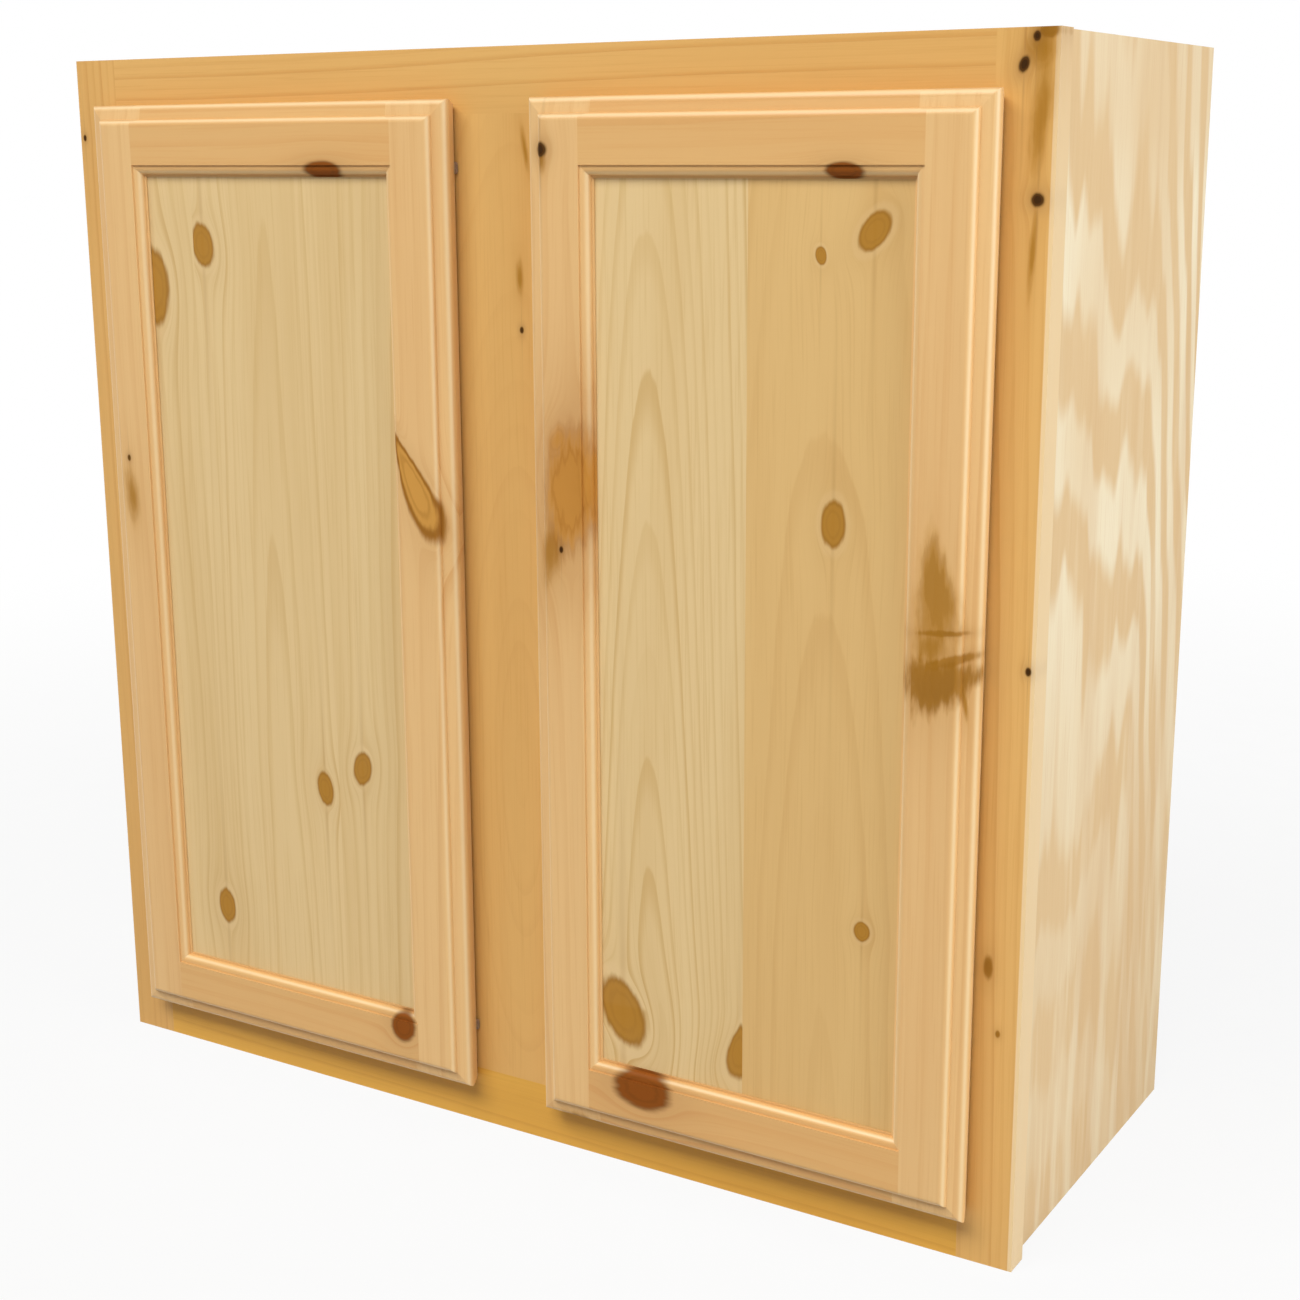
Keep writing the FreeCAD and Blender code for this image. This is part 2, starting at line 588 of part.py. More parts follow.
for sign, hand in ((-1, "left"), (1, "right")):
    door = hand + "_door"
    left_x = door_inner if sign > 0 else -door_outer
    right_x = door_outer if sign > 0 else -door_inner
    left_name, right_name = ("lock", "hinge") if sign > 0 else ("hinge", "lock")
    left_stile = member("%s_%s_stile" % (door, left_name), door_height,
                        (left_x, door_back, door_top), LEFT_EDGE, True)
    right_stile = member("%s_%s_stile" % (door, right_name), door_height,
                         (right_x, door_back, door_bottom), RIGHT_EDGE, True)
    both = [left_stile, right_stile]
    top = member(door + "_top_rail_run", rail_run,
                 (right_x - groove_floor, door_back, door_top), TOP_EDGE, False)
    bottom = member(door + "_bottom_rail_run", rail_run,
                    (left_x + groove_floor, door_back, door_bottom), BOTTOM_EDGE, False)
    keep(cut(door + "_top_rail", top, both))
    keep(cut(door + "_bottom_rail", bottom, both))

    board_x = left_x + groove_floor + PANEL_PLAY
    for number, share in enumerate(BOARD_SHARES[hand]):
        keep(box("%s_panel_board_%d" % (door, number + 1), (panel_width * share, panel_thick, panel_height),
                 (board_x, panel_back, door_bottom + groove_floor + PANEL_PLAY)))
        board_x = board_x + panel_width * share

    # Hinge cups let into the back of the hinge stile, with their pins and screws
    cup_x = across(sign, cup_centre)
    flange_back = door_back + FLANGE_THICK
    cups, pins, screws, bores = [], [], [], []
    for number, level in enumerate(hinge_levels):
        name = "%s_hinge_cup_%d" % (hand, number)
        flange = hinge_box(name + "_flange", sign, (cup_centre - FLANGE_INWARD, cup_centre + FLANGE_OUTWARD),
                           (door_gap - FLANGE_THICK, door_gap), (level - FLANGE_HALF, level + FLANGE_HALF))
        mouth = (cup_x, flange_back, level)
        shell = rod(name + "_shell", cup_radius, cup_depth + FLANGE_THICK, mouth, ALONG_MINUS_Y)
        hollow = rod(name + "_hollow", cup_inside, cup_depth + FLANGE_THICK - CUP_WALL, mouth, ALONG_MINUS_Y)
        pin_at = (across(sign, pivot_out), frame_front - pivot_forward, level - HINGE_PIN_HALF)
        pins.append(rod(name + "_pin", HINGE_PIN_RADIUS, 2 * HINGE_PIN_HALF, pin_at, ALONG_Z))
        tools = [hollow, rod(name + "_pin_hole", HINGE_PIN_RADIUS + FIT, 2 * HINGE_PIN_HALF, pin_at, ALONG_Z)]
        for step in (-1, 1):
            spot = level + CUP_SCREW * step
            screw_name = "%s_cup_screw_%d_%d" % (hand, number, step > 0)
            under = (cup_x, flange_back, spot)
            screws.append(screw(screw_name, (cup_x, flange_back + CUP_HEAD_THICK, spot), ALONG_MINUS_Y,
                                under, CUP_HEAD_THICK))
            bore = screw_bore(screw_name, under, ALONG_MINUS_Y)
            tools.append(bore)
            bores.append(bore)
        cups.append(cut(name, fuse(name + "_body", [flange, shell]), tools))
        bores.append(rod(name + "_bore", cup_radius + FIT, cup_depth + FIT, (cup_x, door_back, level),
                         ALONG_MINUS_Y))
    hinge_stile, lock_stile = (right_stile, left_stile) if sign > 0 else (left_stile, right_stile)
    keep(cut(door + "_hinge_stile", hinge_stile, bores))
    keep(lock_stile)
    keep(group(hand + "_hinge_cups", cups))
    keep(group(hand + "_hinge_pins", pins))
    keep(group(hand + "_hinge_cup_screws", screws))

    # Felt pads behind the lock stile
    pad_x = door_inner + PAD_INSET if sign > 0 else -door_inner - PAD_INSET - PAD_SIDE
    pad_levels = [door_bottom + PAD_END, door_top - PAD_END - PAD_SIDE]
    pads = [box("%s_pad_%d" % (hand, number), (PAD_SIDE, door_gap - AIR, PAD_SIDE), (pad_x, door_back, level))
            for number, level in enumerate(pad_levels)]
    keep(group(hand + "_door_pads", pads))

doc.recompute()

# Every object is sound before anything is written
for thing in doc.Objects:
    if "Invalid" in thing.State or "Error" in thing.State:
        raise RuntimeError("%s: %s" % (thing.Label, thing.State))
os.makedirs("parts", exist_ok=True)
for thing in nodes:
    if thing.Shape.isNull() or not thing.Shape.isValid():
        raise RuntimeError("unsound shape " + thing.Label)
    thing.Shape.exportStep("parts/%s.step" % thing.Label)
print("wrote", len(nodes), "nodes")
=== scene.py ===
"""Looks for a two-door knotty pine wall cabinet.

Laid out as an add-on and run as a script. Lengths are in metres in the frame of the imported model:
X to the right seen from the front, Y into the wall and Z up.
"""

import math
from collections import namedtuple

import bpy
import numpy as np
from bpy.props import FloatProperty, FloatVectorProperty, PointerProperty
from mathutils import Matrix, Vector


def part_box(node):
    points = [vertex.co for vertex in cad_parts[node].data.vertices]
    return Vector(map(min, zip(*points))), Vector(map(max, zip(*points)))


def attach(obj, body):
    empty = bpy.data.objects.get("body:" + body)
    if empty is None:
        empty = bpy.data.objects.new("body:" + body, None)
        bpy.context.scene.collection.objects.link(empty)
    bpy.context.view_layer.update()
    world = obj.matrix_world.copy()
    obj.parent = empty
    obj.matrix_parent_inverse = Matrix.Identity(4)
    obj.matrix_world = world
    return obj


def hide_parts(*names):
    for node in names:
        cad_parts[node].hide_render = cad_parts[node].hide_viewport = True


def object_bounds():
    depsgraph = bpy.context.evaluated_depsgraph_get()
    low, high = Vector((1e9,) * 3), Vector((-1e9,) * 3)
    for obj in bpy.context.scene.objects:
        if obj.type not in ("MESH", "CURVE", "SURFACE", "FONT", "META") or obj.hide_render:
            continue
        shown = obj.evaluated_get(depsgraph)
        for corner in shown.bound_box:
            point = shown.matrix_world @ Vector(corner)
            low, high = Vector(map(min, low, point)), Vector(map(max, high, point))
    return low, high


bl_info = {
    "name": "Knotty Pine Wall Cabinet",
    "version": (1, 0, 0),
    "blender": (4, 5, 0),
    "location": "3D View > Sidebar > Cabinet",
    "description": "Finishes for a two-door wall cabinet in bare pine and plywood",
    "category": "Material",
}

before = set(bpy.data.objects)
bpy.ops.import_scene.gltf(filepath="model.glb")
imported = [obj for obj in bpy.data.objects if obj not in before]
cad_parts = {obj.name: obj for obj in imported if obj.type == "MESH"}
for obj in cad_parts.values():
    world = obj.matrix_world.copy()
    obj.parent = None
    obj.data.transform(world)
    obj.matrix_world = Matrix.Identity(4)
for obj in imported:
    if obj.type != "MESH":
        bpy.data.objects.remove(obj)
CAD_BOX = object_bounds()
MM = 0.001


# Shader maths

class Wire:
    """An output socket; arithmetic on it adds Math nodes to its graph."""

    def __init__(self, graph, socket):
        self.graph = graph
        self.socket = socket

    def __add__(self, other):
        return self.graph.math("ADD", self, other)

    def __sub__(self, other):
        return self.graph.math("SUBTRACT", self, other)

    def __rsub__(self, other):
        return self.graph.math("SUBTRACT", other, self)

    def __mul__(self, other):
        return self.graph.math("MULTIPLY", self, other)

    def __truediv__(self, other):
        return self.graph.math("DIVIDE", self, other)

    def __rtruediv__(self, other):
        return self.graph.math("DIVIDE", other, self)

    def __abs__(self):
        return self.graph.math("ABSOLUTE", self)

    __radd__ = __add__
    __rmul__ = __mul__


class Graph:
    """The node tree of one material or of the world."""

    def __init__(self, tree):
        self.tree = tree
        tree.nodes.clear()

    def node(self, kind, settings=None, sockets=None, output=0):
        """Adds a node, sets its settings first and then the value or link of each socket."""
        made = self.tree.nodes.new(kind)
        for name, value in (settings or {}).items():
            setattr(made, name, value)
        for name, value in (sockets or {}).items():
            self.feed(made.inputs[name], value)
        return Wire(self, made.outputs[output]) if made.outputs else None

    def feed(self, socket, value):
        if isinstance(value, Wire):
            self.tree.links.new(value.socket, socket)
        elif socket.type == "RGBA":
            socket.default_value = (*value[:3], 1.0)
        else:
            socket.default_value = value

    def math(self, operation, first, second=0.0):
        return self.node("ShaderNodeMath", {"operation": operation}, {0: first, 1: second})

    def smooth(self, value, low, high):
        """0 below low and 1 above high, with a soft step between."""
        sockets = {"Value": value, "From Min": low, "From Max": high}
        return self.node("ShaderNodeMapRange", {"interpolation_type": "SMOOTHSTEP"}, sockets)

    def hump(self, value, limits):
        """0 up to the first limit, 1 between the middle two and 0 again from the last."""
        rise, full, fall, gone = limits
        return self.smooth(value, rise, full) * (1 - self.smooth(value, fall, gone))

    def mix(self, factor, first, second):
        """Colour between two colours."""
        return self.node("ShaderNodeMix", {"data_type": "RGBA"}, {0: factor, 6: first, 7: second}, output=2)

    def split(self, vector):
        first = self.node("ShaderNodeSeparateXYZ", None, {0: vector})
        return [Wire(self, socket) for socket in first.socket.node.outputs]

    def noise(self, place, scale, seed, detail=2.0):
        """Noise from 0 to 1 with its own scale on each axis."""
        offset = (seed, 2 * seed, 3 * seed)
        moved = self.node("ShaderNodeVectorMath", {"operation": "MULTIPLY_ADD"},
                          {0: place, 1: scale, 2: offset})
        return self.node("ShaderNodeTexNoise", None, {"Vector": moved, "Scale": 1.0, "Detail": detail})

    def shader(self, sockets):
        return self.node("ShaderNodeBsdfPrincipled", None, sockets)

    def surface(self, shader):
        self.node("ShaderNodeOutputMaterial", None, {"Surface": shader})

    def bump(self, height, distance, strength):
        sockets = {"Height": height, "Distance": distance, "Strength": strength}
        return self.node("ShaderNodeBump", None, sockets)


def new_finish(name):
    material = bpy.data.materials.new(name)
    material.use_nodes = True
    return material, Graph(material.node_tree)


def dress(node, material):
    """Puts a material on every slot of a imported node."""
    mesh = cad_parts[node].data
    for index in range(len(mesh.materials)):
        mesh.materials[index] = material


# Noise seeds; the pieces of a group count on from the group's own.
SEEDS = {
    "face_frame": 1, "door_members": 10, "door_panels": 20, "hanging_rails": 30, "case": 40, "shelves": 50,
    "nickel": 60, "zinc": 62, "felt_clump": 65, "felt_fibre": 66, "floor": 70,
}
SEED_STEP = 7.3  # keeps the noise of one piece apart from the next


def seed_of(group, number=0):
    return (SEEDS[group] + number) * SEED_STEP


# Settings a user would change

def paint(red, green, blue):
    """Screen colour from 0 to 255 as the linear colour that shaders use."""
    parts = [value / 255 for value in (red, green, blue)]
    return tuple(part / 12.92 if part < 0.04 else ((part + 0.055) / 1.055) ** 2.4 for part in parts)


def colour(name, description, default):
    return FloatVectorProperty(name=name, description=description, default=paint(*default), size=3,
                               subtype="COLOR", min=0.0, max=1.0)


def share(name, description, default):
    return FloatProperty(name=name, description=description, default=default, min=0.0, max=1.0,
                         subtype="FACTOR")


class PineSettings(bpy.types.PropertyGroup):
    """Colours of the solid pine: spring wood and summer wood of each kind of board, and the knots."""

    frame_early: colour("Frame spring wood", "Pale wood of the face frame", (222, 174, 101))
    frame_late: colour("Frame summer wood", "Ring lines of the face frame", (198, 140, 66))
    # The frame's bottom rail, which lies under the doors, is given darker, more olive colours than the rest
    # of the frame.
    sill_early: colour("Bottom rail spring wood", "Pale wood of the frame's bottom rail", (224, 170, 70))
    sill_late: colour("Bottom rail summer wood", "Ring lines of the frame's bottom rail", (198, 138, 46))
    stile_early: colour("Stile spring wood", "Pale wood of the door stiles", (228, 187, 128))
    stile_late: colour("Stile summer wood", "Ring lines of the door stiles", (208, 152, 88))
    rail_early: colour("Rail spring wood", "Pale wood of the door rails", (221, 175, 112))
    rail_late: colour("Rail summer wood", "Ring lines of the door rails", (210, 148, 82))
    pale_early: colour("Pale panel spring wood", "Pale wood of the lighter panel boards", (223, 194, 141))
    pale_late: colour("Pale panel summer wood", "Ring lines of the lighter panel boards", (196, 156, 88))
    warm_early: colour("Warm panel spring wood", "Pale wood of the warmer panel board", (219, 181, 118))
    warm_late: colour("Warm panel summer wood", "Ring lines of the warmer panel board", (196, 150, 84))
    tan_heart: colour("Sound knot heart", "Middle of a sound knot", (174, 122, 40))
    tan_rim: colour("Sound knot rim", "Edge of a sound knot", (156, 106, 32))
    red_heart: colour("Red knot heart", "Middle of a red-brown knot", (194, 134, 56))
    red_rim: colour("Red knot rim", "Edge of a red-brown knot", (158, 96, 26))
    ember_heart: colour("Dark red knot heart", "Middle of a dark red-brown knot", (134, 68, 8))
    ember_rim: colour("Dark red knot rim", "Edge of a dark red-brown knot", (104, 52, 2))
    spike_heart: colour("Spike knot heart", "Middle of a knot sawn along its length", (204, 148, 68))
    spike_rim: colour("Spike knot rim", "Edge of a knot sawn along its length", (150, 96, 26))
    pin_heart: colour("Dark knot heart", "Middle of a small dark knot", (52, 28, 4))
    pin_rim: colour("Dark knot rim", "Edge of a small dark knot", (112, 66, 16))
    bark_heart: colour("Bark heart", "Middle of a patch of ingrown bark", (146, 96, 18))
    bark_rim: colour("Bark rim", "Edge of a patch of ingrown bark", (160, 108, 32))
    stain_heart: colour("Stain heart", "Middle of a resin stain", (162, 110, 24))
    stain_rim: colour("Stain rim", "Edge of a resin stain", (184, 130, 50))
    end_grain: colour("End grain", "Sawn ends of the boards", (196, 146, 84))
    sapwood: colour("Sapwood", "Pale sapwood at a board's outer edge", (236, 206, 156))
    # Painted highlight: the Moulding colour is a cream that the rounded mouldings are paled towards, in place
    # of the light they catch.
    cut: colour("Moulding", "Fresh wood laid bare on the mouldings", (243, 219, 172))
    roughness: share("Roughness", "Roughness of the bare sanded pine", 0.4)
    sheen: share("Sheen", "Pale sheen of the sanded fibres seen at a slant", 0.7)
    # The Moulding share sets how strongly that painted highlight pales the mouldings.
    moulding: share("Moulding share", "How much paler the cut mouldings are than the flats", 0.55)


class PlywoodSettings(bpy.types.PropertyGroup):
    """Colours of the plywood panels."""

    tan: colour("Veneer", "Main colour of the face veneer", (226, 194, 146))
    cream: colour("Veneer flame", "Pale flames of the face veneer", (246, 232, 200))
    line: colour("Veneer line", "Fine dark lines of the face veneer", (214, 174, 122))
    inner: colour("Core ply", "Cross plies on a sawn edge", (182, 134, 80))
    roughness: share("Roughness", "Roughness of the bare veneer", 0.62)
    ply: FloatProperty(name="Ply", description="Thickness of one ply", default=2.54 * MM, unit="LENGTH")


class MetalSettings(bpy.types.PropertyGroup):
    """Colours of the hinges, screws and shelf pins, and of the felt."""

    nickel: colour("Nickel", "Plated hinges and pins", (206, 202, 192))
    screw: colour("Screw", "Zinc plated screws", (188, 186, 178))
    tarnish: colour("Tarnish", "Dull patches on the plating", (148, 142, 128))
    felt: colour("Felt", "Felt pads", (122, 92, 66))
    felt_tip: colour("Felt fibre", "Loose fibres of the felt", (160, 128, 98))
    roughness: share("Roughness", "Roughness of the plating", 0.3)


class StageSettings(bpy.types.PropertyGroup):
    """Camera, lamps and floor."""

    camera_place: FloatVectorProperty(name="Camera place", description="Where the camera stands", size=3,
                                      default=(0.8056, -1.4365, 0.0102), subtype="TRANSLATION", unit="LENGTH")
    yaw: FloatProperty(name="Yaw", description="Camera turned to the left of straight ahead",
                       default=math.radians(31.456), subtype="ANGLE")
    pitch: FloatProperty(name="Pitch", description="Camera turned down from level",
                         default=math.radians(13.553), subtype="ANGLE")
    roll: FloatProperty(name="Roll", description="Camera tilted about its own axis",
                        default=math.radians(-0.246), subtype="ANGLE")
    lens: FloatProperty(name="Lens", description="Focal length for a 36 mm sensor, in millimetres",
                        default=57.21)
    floor: colour("Floor", "Pale floor", (194, 194, 192))
    sky: FloatProperty(name="Sky", description="Light from above and around", default=0.17)
    key: FloatProperty(name="Key lamp", description="Power of the lamp above", default=490.0, unit="POWER")
    fill: FloatProperty(name="Fill lamp", description="Power of the lamp to the right", default=41.0,
                        unit="POWER")


# Pine

# A board's grain axis, colours, ring spacing, pith line, ring contrast, knots and sapwood. The pith lies at a
# place across the board, at a depth behind its face, and leans away from the face by the taper. Sapwood
# starts at a place across the board. Lengths are in millimetres.
Board = namedtuple("Board", "node grain tone spacing heart pith taper contrast knots sap",
                   defaults=((), None))

# A branch mark on a board's face: middle across and along the grain, half sizes, kind and tilt in degrees.
Knot = namedtuple("Knot", "across along half_width half_length kind tilt", defaults=("tan", 0))

# How a kind of knot looks: its pair of colours, where its edge starts and ends, how ragged it is, how much it
# covers, its halo, its streaks, whether the grain parts round it, its form, and how pale a collar it has. A
# round knot is an ellipse. A wedge is widest at its foot.
Kind = namedtuple("Kind", "paint inner outer ragged cover halo streak parts form collar",
                  defaults=(True, "round", 0.0))
KINDS = {
    "tan": Kind("tan", 0.80, 1.05, 0.24, 0.92, 0.14, 0.35, True, "round", 0.15),
    "half": Kind("tan", 0.80, 1.05, 0.24, 0.92, 0.12, 0.20, True, "wedge", 0.10),
    "red": Kind("red", 0.50, 1.05, 0.60, 0.90, 0.35, 0.10),
    "ember": Kind("ember", 0.70, 1.08, 0.24, 0.95, 0.22, 0.08),
    "spike": Kind("spike", 0.88, 1.12, 0.20, 0.95, 0.22, 0.00, True, "wedge"),
    "pin": Kind("pin", 0.55, 1.05, 0.30, 0.97, 0.35, 0.40),
    "bark": Kind("bark", 0.50, 1.10, 0.60, 0.85, 0.30, 0.00, False),
    "root": Kind("bark", 0.50, 1.10, 0.90, 0.90, 0.20, 0.00, False, "wedge"),
    "flush": Kind("red", 0.05, 1.10, 0.40, 0.75, 0.20, 0.00, False),
    "stain": Kind("stain", 0.10, 1.10, 0.60, 0.80, 0.25, 0.10, False),
    "tail": Kind("stain", 0.35, 1.10, 0.60, 0.85, 0.12, 0.00, False, "wedge"),
}

FACE_FRAME = [
    Board("frame_left_stile", "Z", "frame", 6, -440, 40, 0.02, 0.3, [Knot(-377, 22, 2, 3, "pin")]),
    Board("frame_right_stile", "Z", "frame", 6, 330, 30, 0.03, 0.25, [
        Knot(371, 30, 8, 50, "stain", -4), Knot(369, 66, 12, 16, "stain"), Knot(374, 75, 8, 5, "bark"),
        Knot(369, -48, 3, 34, "stain", -3), Knot(367, 72, 3, 4, "pin"), Knot(360, 57, 4, 6, "pin", -20),
        Knot(371, -17, 5, 5, "pin"), Knot(376.5, -291, 2.5, 3.5, "pin"), Knot(358, -482, 4, 9, "bark"),
        Knot(366, -525, 2, 3, "bark")], 378.5),
    Board("frame_centre_stile", "Z", "frame", 6, 8, 20, 0.2, 0.08, [
        Knot(15, -104, 2, 3, "pin"), Knot(14, -70, 4, 16, "stain"), Knot(20, 12, 3, 22, "stain", 10)]),
    Board("frame_top_rail", "X", "frame", 6, 150, 70, 0.02, 0.3),
    Board("frame_bottom_rail", "X", "sill", 6, -780, 60, 0.02, 0.3),
]

DOOR_MEMBERS = [
    Board("left_door_hinge_stile", "Z", "stile", 11, -420, 60, 0.02, 0.2, [
        Knot(-331, -211, 2, 3, "pin"), Knot(-330, -240, 9, 28, "stain", 4)]),
    Board("left_door_lock_stile", "Z", "stile", 11, 10, 50, 0.02, 0.2, [
        Knot(-62, -212, 11, 41, "spike", 27)]),
    Board("left_door_top_rail", "X", "rail", 11, 120, 60, 0.01, 0.25, [Knot(-1, -134, 7, 18, "ember")]),
    Board("left_door_bottom_rail", "X", "rail", 11, -720, 60, 0.01, 0.25, [
        Knot(-615, -88, 13, 12, "ember", 25)]),
    Board("right_door_lock_stile", "Z", "stile", 11, -20, 60, 0.02, 0.2, [
        Knot(47, 6, 4, 12, "stain"), Knot(46, 12, 6, 6, "pin"), Knot(50, -246, 12, 32, "stain", -14),
        Knot(66, -204, 24, 48, "red", -4), Knot(80, -196, 9, 42, "flush", 4),
        # The stain at the stile's foot, the last in this list, is painted shade: the real corner has a chip
        # torn out, which is not modelled, and the stain darkens the corner in place of the shade seen through
        # the chip.
        Knot(56, -172, 8, 14, "flush", -20), Knot(58, -244, 2, 3, "pin"), Knot(60, -653, 18, 6, "stain")]),
    Board("right_door_hinge_stile", "Z", "stile", 11, 410, 50, 0.02, 0.2, [
        Knot(325, -244, 16, 46, "tail", 6), Knot(329, -269, 18, 2.5, "bark", 5),
        Knot(334, -286, 22, 4, "bark", 18), Knot(330, -299, 18, 30, "root", -72),
        Knot(344, -312, 2, 14, "stain", 8), Knot(322, -278, 15, 14, "stain")]),
    Board("right_door_top_rail", "X", "rail", 11, 130, 60, 0.01, 0.25, [Knot(-1, 259, 6, 14, "ember")]),
    Board("right_door_bottom_rail", "X", "rail", 11, -700, 60, 0.01, 0.25, [
        Knot(-615, 118, 16, 25, "ember")]),
]

DOOR_PANELS = [
    Board("left_door_panel_board_1", "Z", "pale", 8, -330, 26, 0.05, 0.2, [
        Knot(-301, -84, 15, 30), Knot(-263, -556, 9, 15, "tan", 5)]),
    Board("left_door_panel_board_2", "Z", "pale", 7, -198, 20, 0.03, 0.2, [
        Knot(-252, -53, 11, 17, "tan", 14), Knot(-263, -556, 9, 15, "tan", 5),
        Knot(-159, -445, 8, 14, "tan", 8)]),
    Board("left_door_panel_board_3", "Z", "pale", 9, -40, 40, 0.03, 0.25, [
        Knot(-123, -424, 9, 14, "tan", -10)]),
    Board("right_door_panel_board_1", "Z", "pale", 5.2, 119, 26, 0.06, 0.32, [
        Knot(99, -564, 17, 28, "tan", 26), Knot(190, -573, 9, 21, "half", -4)]),
    Board("right_door_panel_board_2", "Z", "warm", 12, 252, 34, 0.1, 0.16, [
        Knot(277, -35, 9, 15, "tan", -38), Knot(242, -50, 4, 6, "tan", 10), Knot(253, -211, 9, 16),
        Knot(278, -470, 6, 7)]),
]

HANGING_RAILS = [
    Board("upper_hanging_rail", "X", "frame", 8, 90, 50, 0.02, 0.4, [
        Knot(10, -180, 9, 12), Knot(-12, 215, 6, 9)]),
    Board("lower_hanging_rail", "X", "frame", 8, -560, 50, 0.02, 0.4, [Knot(-600, 120, 9, 12)]),
]

# Knots. Lengths are in a knot's own half sizes.
PARTING = 0.8           # how fast the parting of the grain fades outwards
WEDGE_TAPER = 0.6       # how much a wedge narrows upwards from its middle
WEDGE_TIP = 0.2         # least width of a wedge
STREAK_THIN = 30.0      # how narrow the streak is across the grain
STREAK_FADE = 0.25      # how fast the streak fades along the grain
HALO_FADE = 0.4         # how fast the halo fades outwards
COLLAR = (0.85, 1.05, 1.15, 1.45)  # hump of the pale collar
KNOT_RINGS = 16.0       # how closely a knot's own rings lie
KNOT_RING_DEPTH = 0.16  # how far they shift its colours
HEART_SIZE = 0.45       # the heart's colour starts to turn into the rim's here
KNOT_CONTRAST = 0.22    # ring contrast that a knot adds to the wood near itself
CONTRAST_FADE = 0.2     # how fast that contrast fades outwards
KNOT_ROUGHNESS = 0.7
KNOT_ROUGHNESS_SPREAD = 0.1
KNOT_SPECULAR = 0.08

# Rings, fibres and faces of a board. A step gives where a soft step starts and ends.
RING_WANDER = 1.5       # slow bends of the rings, in ring spacings
RING_RAGGED = 0.16      # fine raggedness of the rings, in ring spacings
RING_DEPTH = 2.0        # how far a ring of full contrast goes towards summer wood
SUMMER_WOOD = (0.5, 0.93, 0.94, 1.0)  # hump of the summer wood within a ring
FAINT_YEAR = 0.1        # summer wood of the faintest year
DRIFT_STEP = (0.35, 0.75)
DRIFT_DEPTH = 0.25      # how far slow drifts of colour go towards summer wood
FIBRE_STEP = (0.48, 0.8)
FIBRE_DEPTH = 0.3       # how far fibres go towards summer wood
SAP_EDGE = 0.5          # soft edge of the sapwood, in millimetres
# Between these limits the painted highlight on the mouldings fades out towards the flat faces.
FLAT_STEP = (0.75, 0.98)  # how squarely a moulding and a flat face along an axis
END_STEP = (0.6, 0.95)  # how squarely a sawn end faces along the grain
END_DEPTH = 0.5         # how far sawn ends go towards the colour of end grain
FIBRE_HEIGHT = 0.5      # shares of the relief
RING_HEIGHT = 0.5
KNOT_HEIGHT = 0.6
PINE_RELIEF = 0.3 * MM
PINE_BUMP = 0.3
PINE_ROUGHNESS_SPREAD = 0.12
SUMMER_SHINE = 0.08     # how much smoother summer wood is
PINE_SPECULAR = 0.35
SHEEN_ROUGHNESS = 0.35

# Noise in waves per metre across, along and through a board.
BEND_WAVES = (11, 2.2, 11)
RAGGED_WAVES = (190, 11, 190)
DRIFT_WAVES = (24, 1.6, 24)
FIBRE_WAVES = (820, 12, 820)
RIPPLE_WAVES = (260, 50, 260)


def knot_field(graph, across, along, knot):
    """Square of the distance from a knot in its own half sizes, its streak, and the push it gives the grain.

    The streak runs along the grain and fades from the knot's middle. The grain parts as a stream does round
    a post: it moves sideways by its own distance at the edge, and by the inverse square further out.
    """
    turn = math.radians(knot.tilt)
    aside = (across - knot.across * MM) / (knot.half_width * MM)
    onward = (along - knot.along * MM) / (knot.half_length * MM)
    stretch = knot.half_length / knot.half_width
    side = aside * math.cos(turn) + onward * (math.sin(turn) * stretch)
    run = onward * math.cos(turn) - aside * (math.sin(turn) / stretch)
    if KINDS[knot.kind].form == "wedge":
        side = side / graph.math("MAXIMUM", 1 - run * WEDGE_TAPER, WEDGE_TIP)
    square = side * side + run * run
    streak = graph.math("EXPONENT", aside * aside * -STREAK_THIN - abs(onward) * STREAK_FADE)
    push = aside * (knot.half_width * MM) / graph.math("MAXIMUM", square * PARTING, 1.0)
    return square, streak, push


def paint_knot(graph, base, field, wander, knot, pine):
    """Lays one knot over the wood: halo, streak along the grain, pale collar, then the ringed knot itself."""
    square, streak, _push = field
    kind = KINDS[knot.kind]
    heart = getattr(pine, kind.paint + "_heart")
    rim = getattr(pine, kind.paint + "_rim")
    halo = graph.math("EXPONENT", square * -HALO_FADE) * kind.halo
    base = graph.mix(graph.math("MAXIMUM", halo, streak * kind.streak), base, rim)
    radius = graph.math("SQRT", square) + (wander - 0.5) * kind.ragged
    if kind.collar:
        base = graph.mix(graph.hump(radius, COLLAR) * kind.collar, base, pine.sapwood)
    cover = (1 - graph.smooth(radius, kind.inner, kind.outer)) * kind.cover
    rings = graph.math("SINE", radius * KNOT_RINGS) * KNOT_RING_DEPTH
    wood = graph.mix(graph.smooth(radius + rings, HEART_SIZE, 1.0), heart, rim)
    return graph.mix(cover, base, wood), cover


def paint_knots(graph, base, board, fields, point, seed, pine):
    """Lays all knots of a board over its wood, and gives how much they cover it."""
    ripple = graph.noise(point, RIPPLE_WAVES, seed, 3.0)
    knotted = 0.0
    for field, knot in zip(fields, board.knots):
        base, cover = paint_knot(graph, base, field, ripple, knot, pine)
        knotted = graph.math("MAXIMUM", cover, knotted)
    return base, knotted


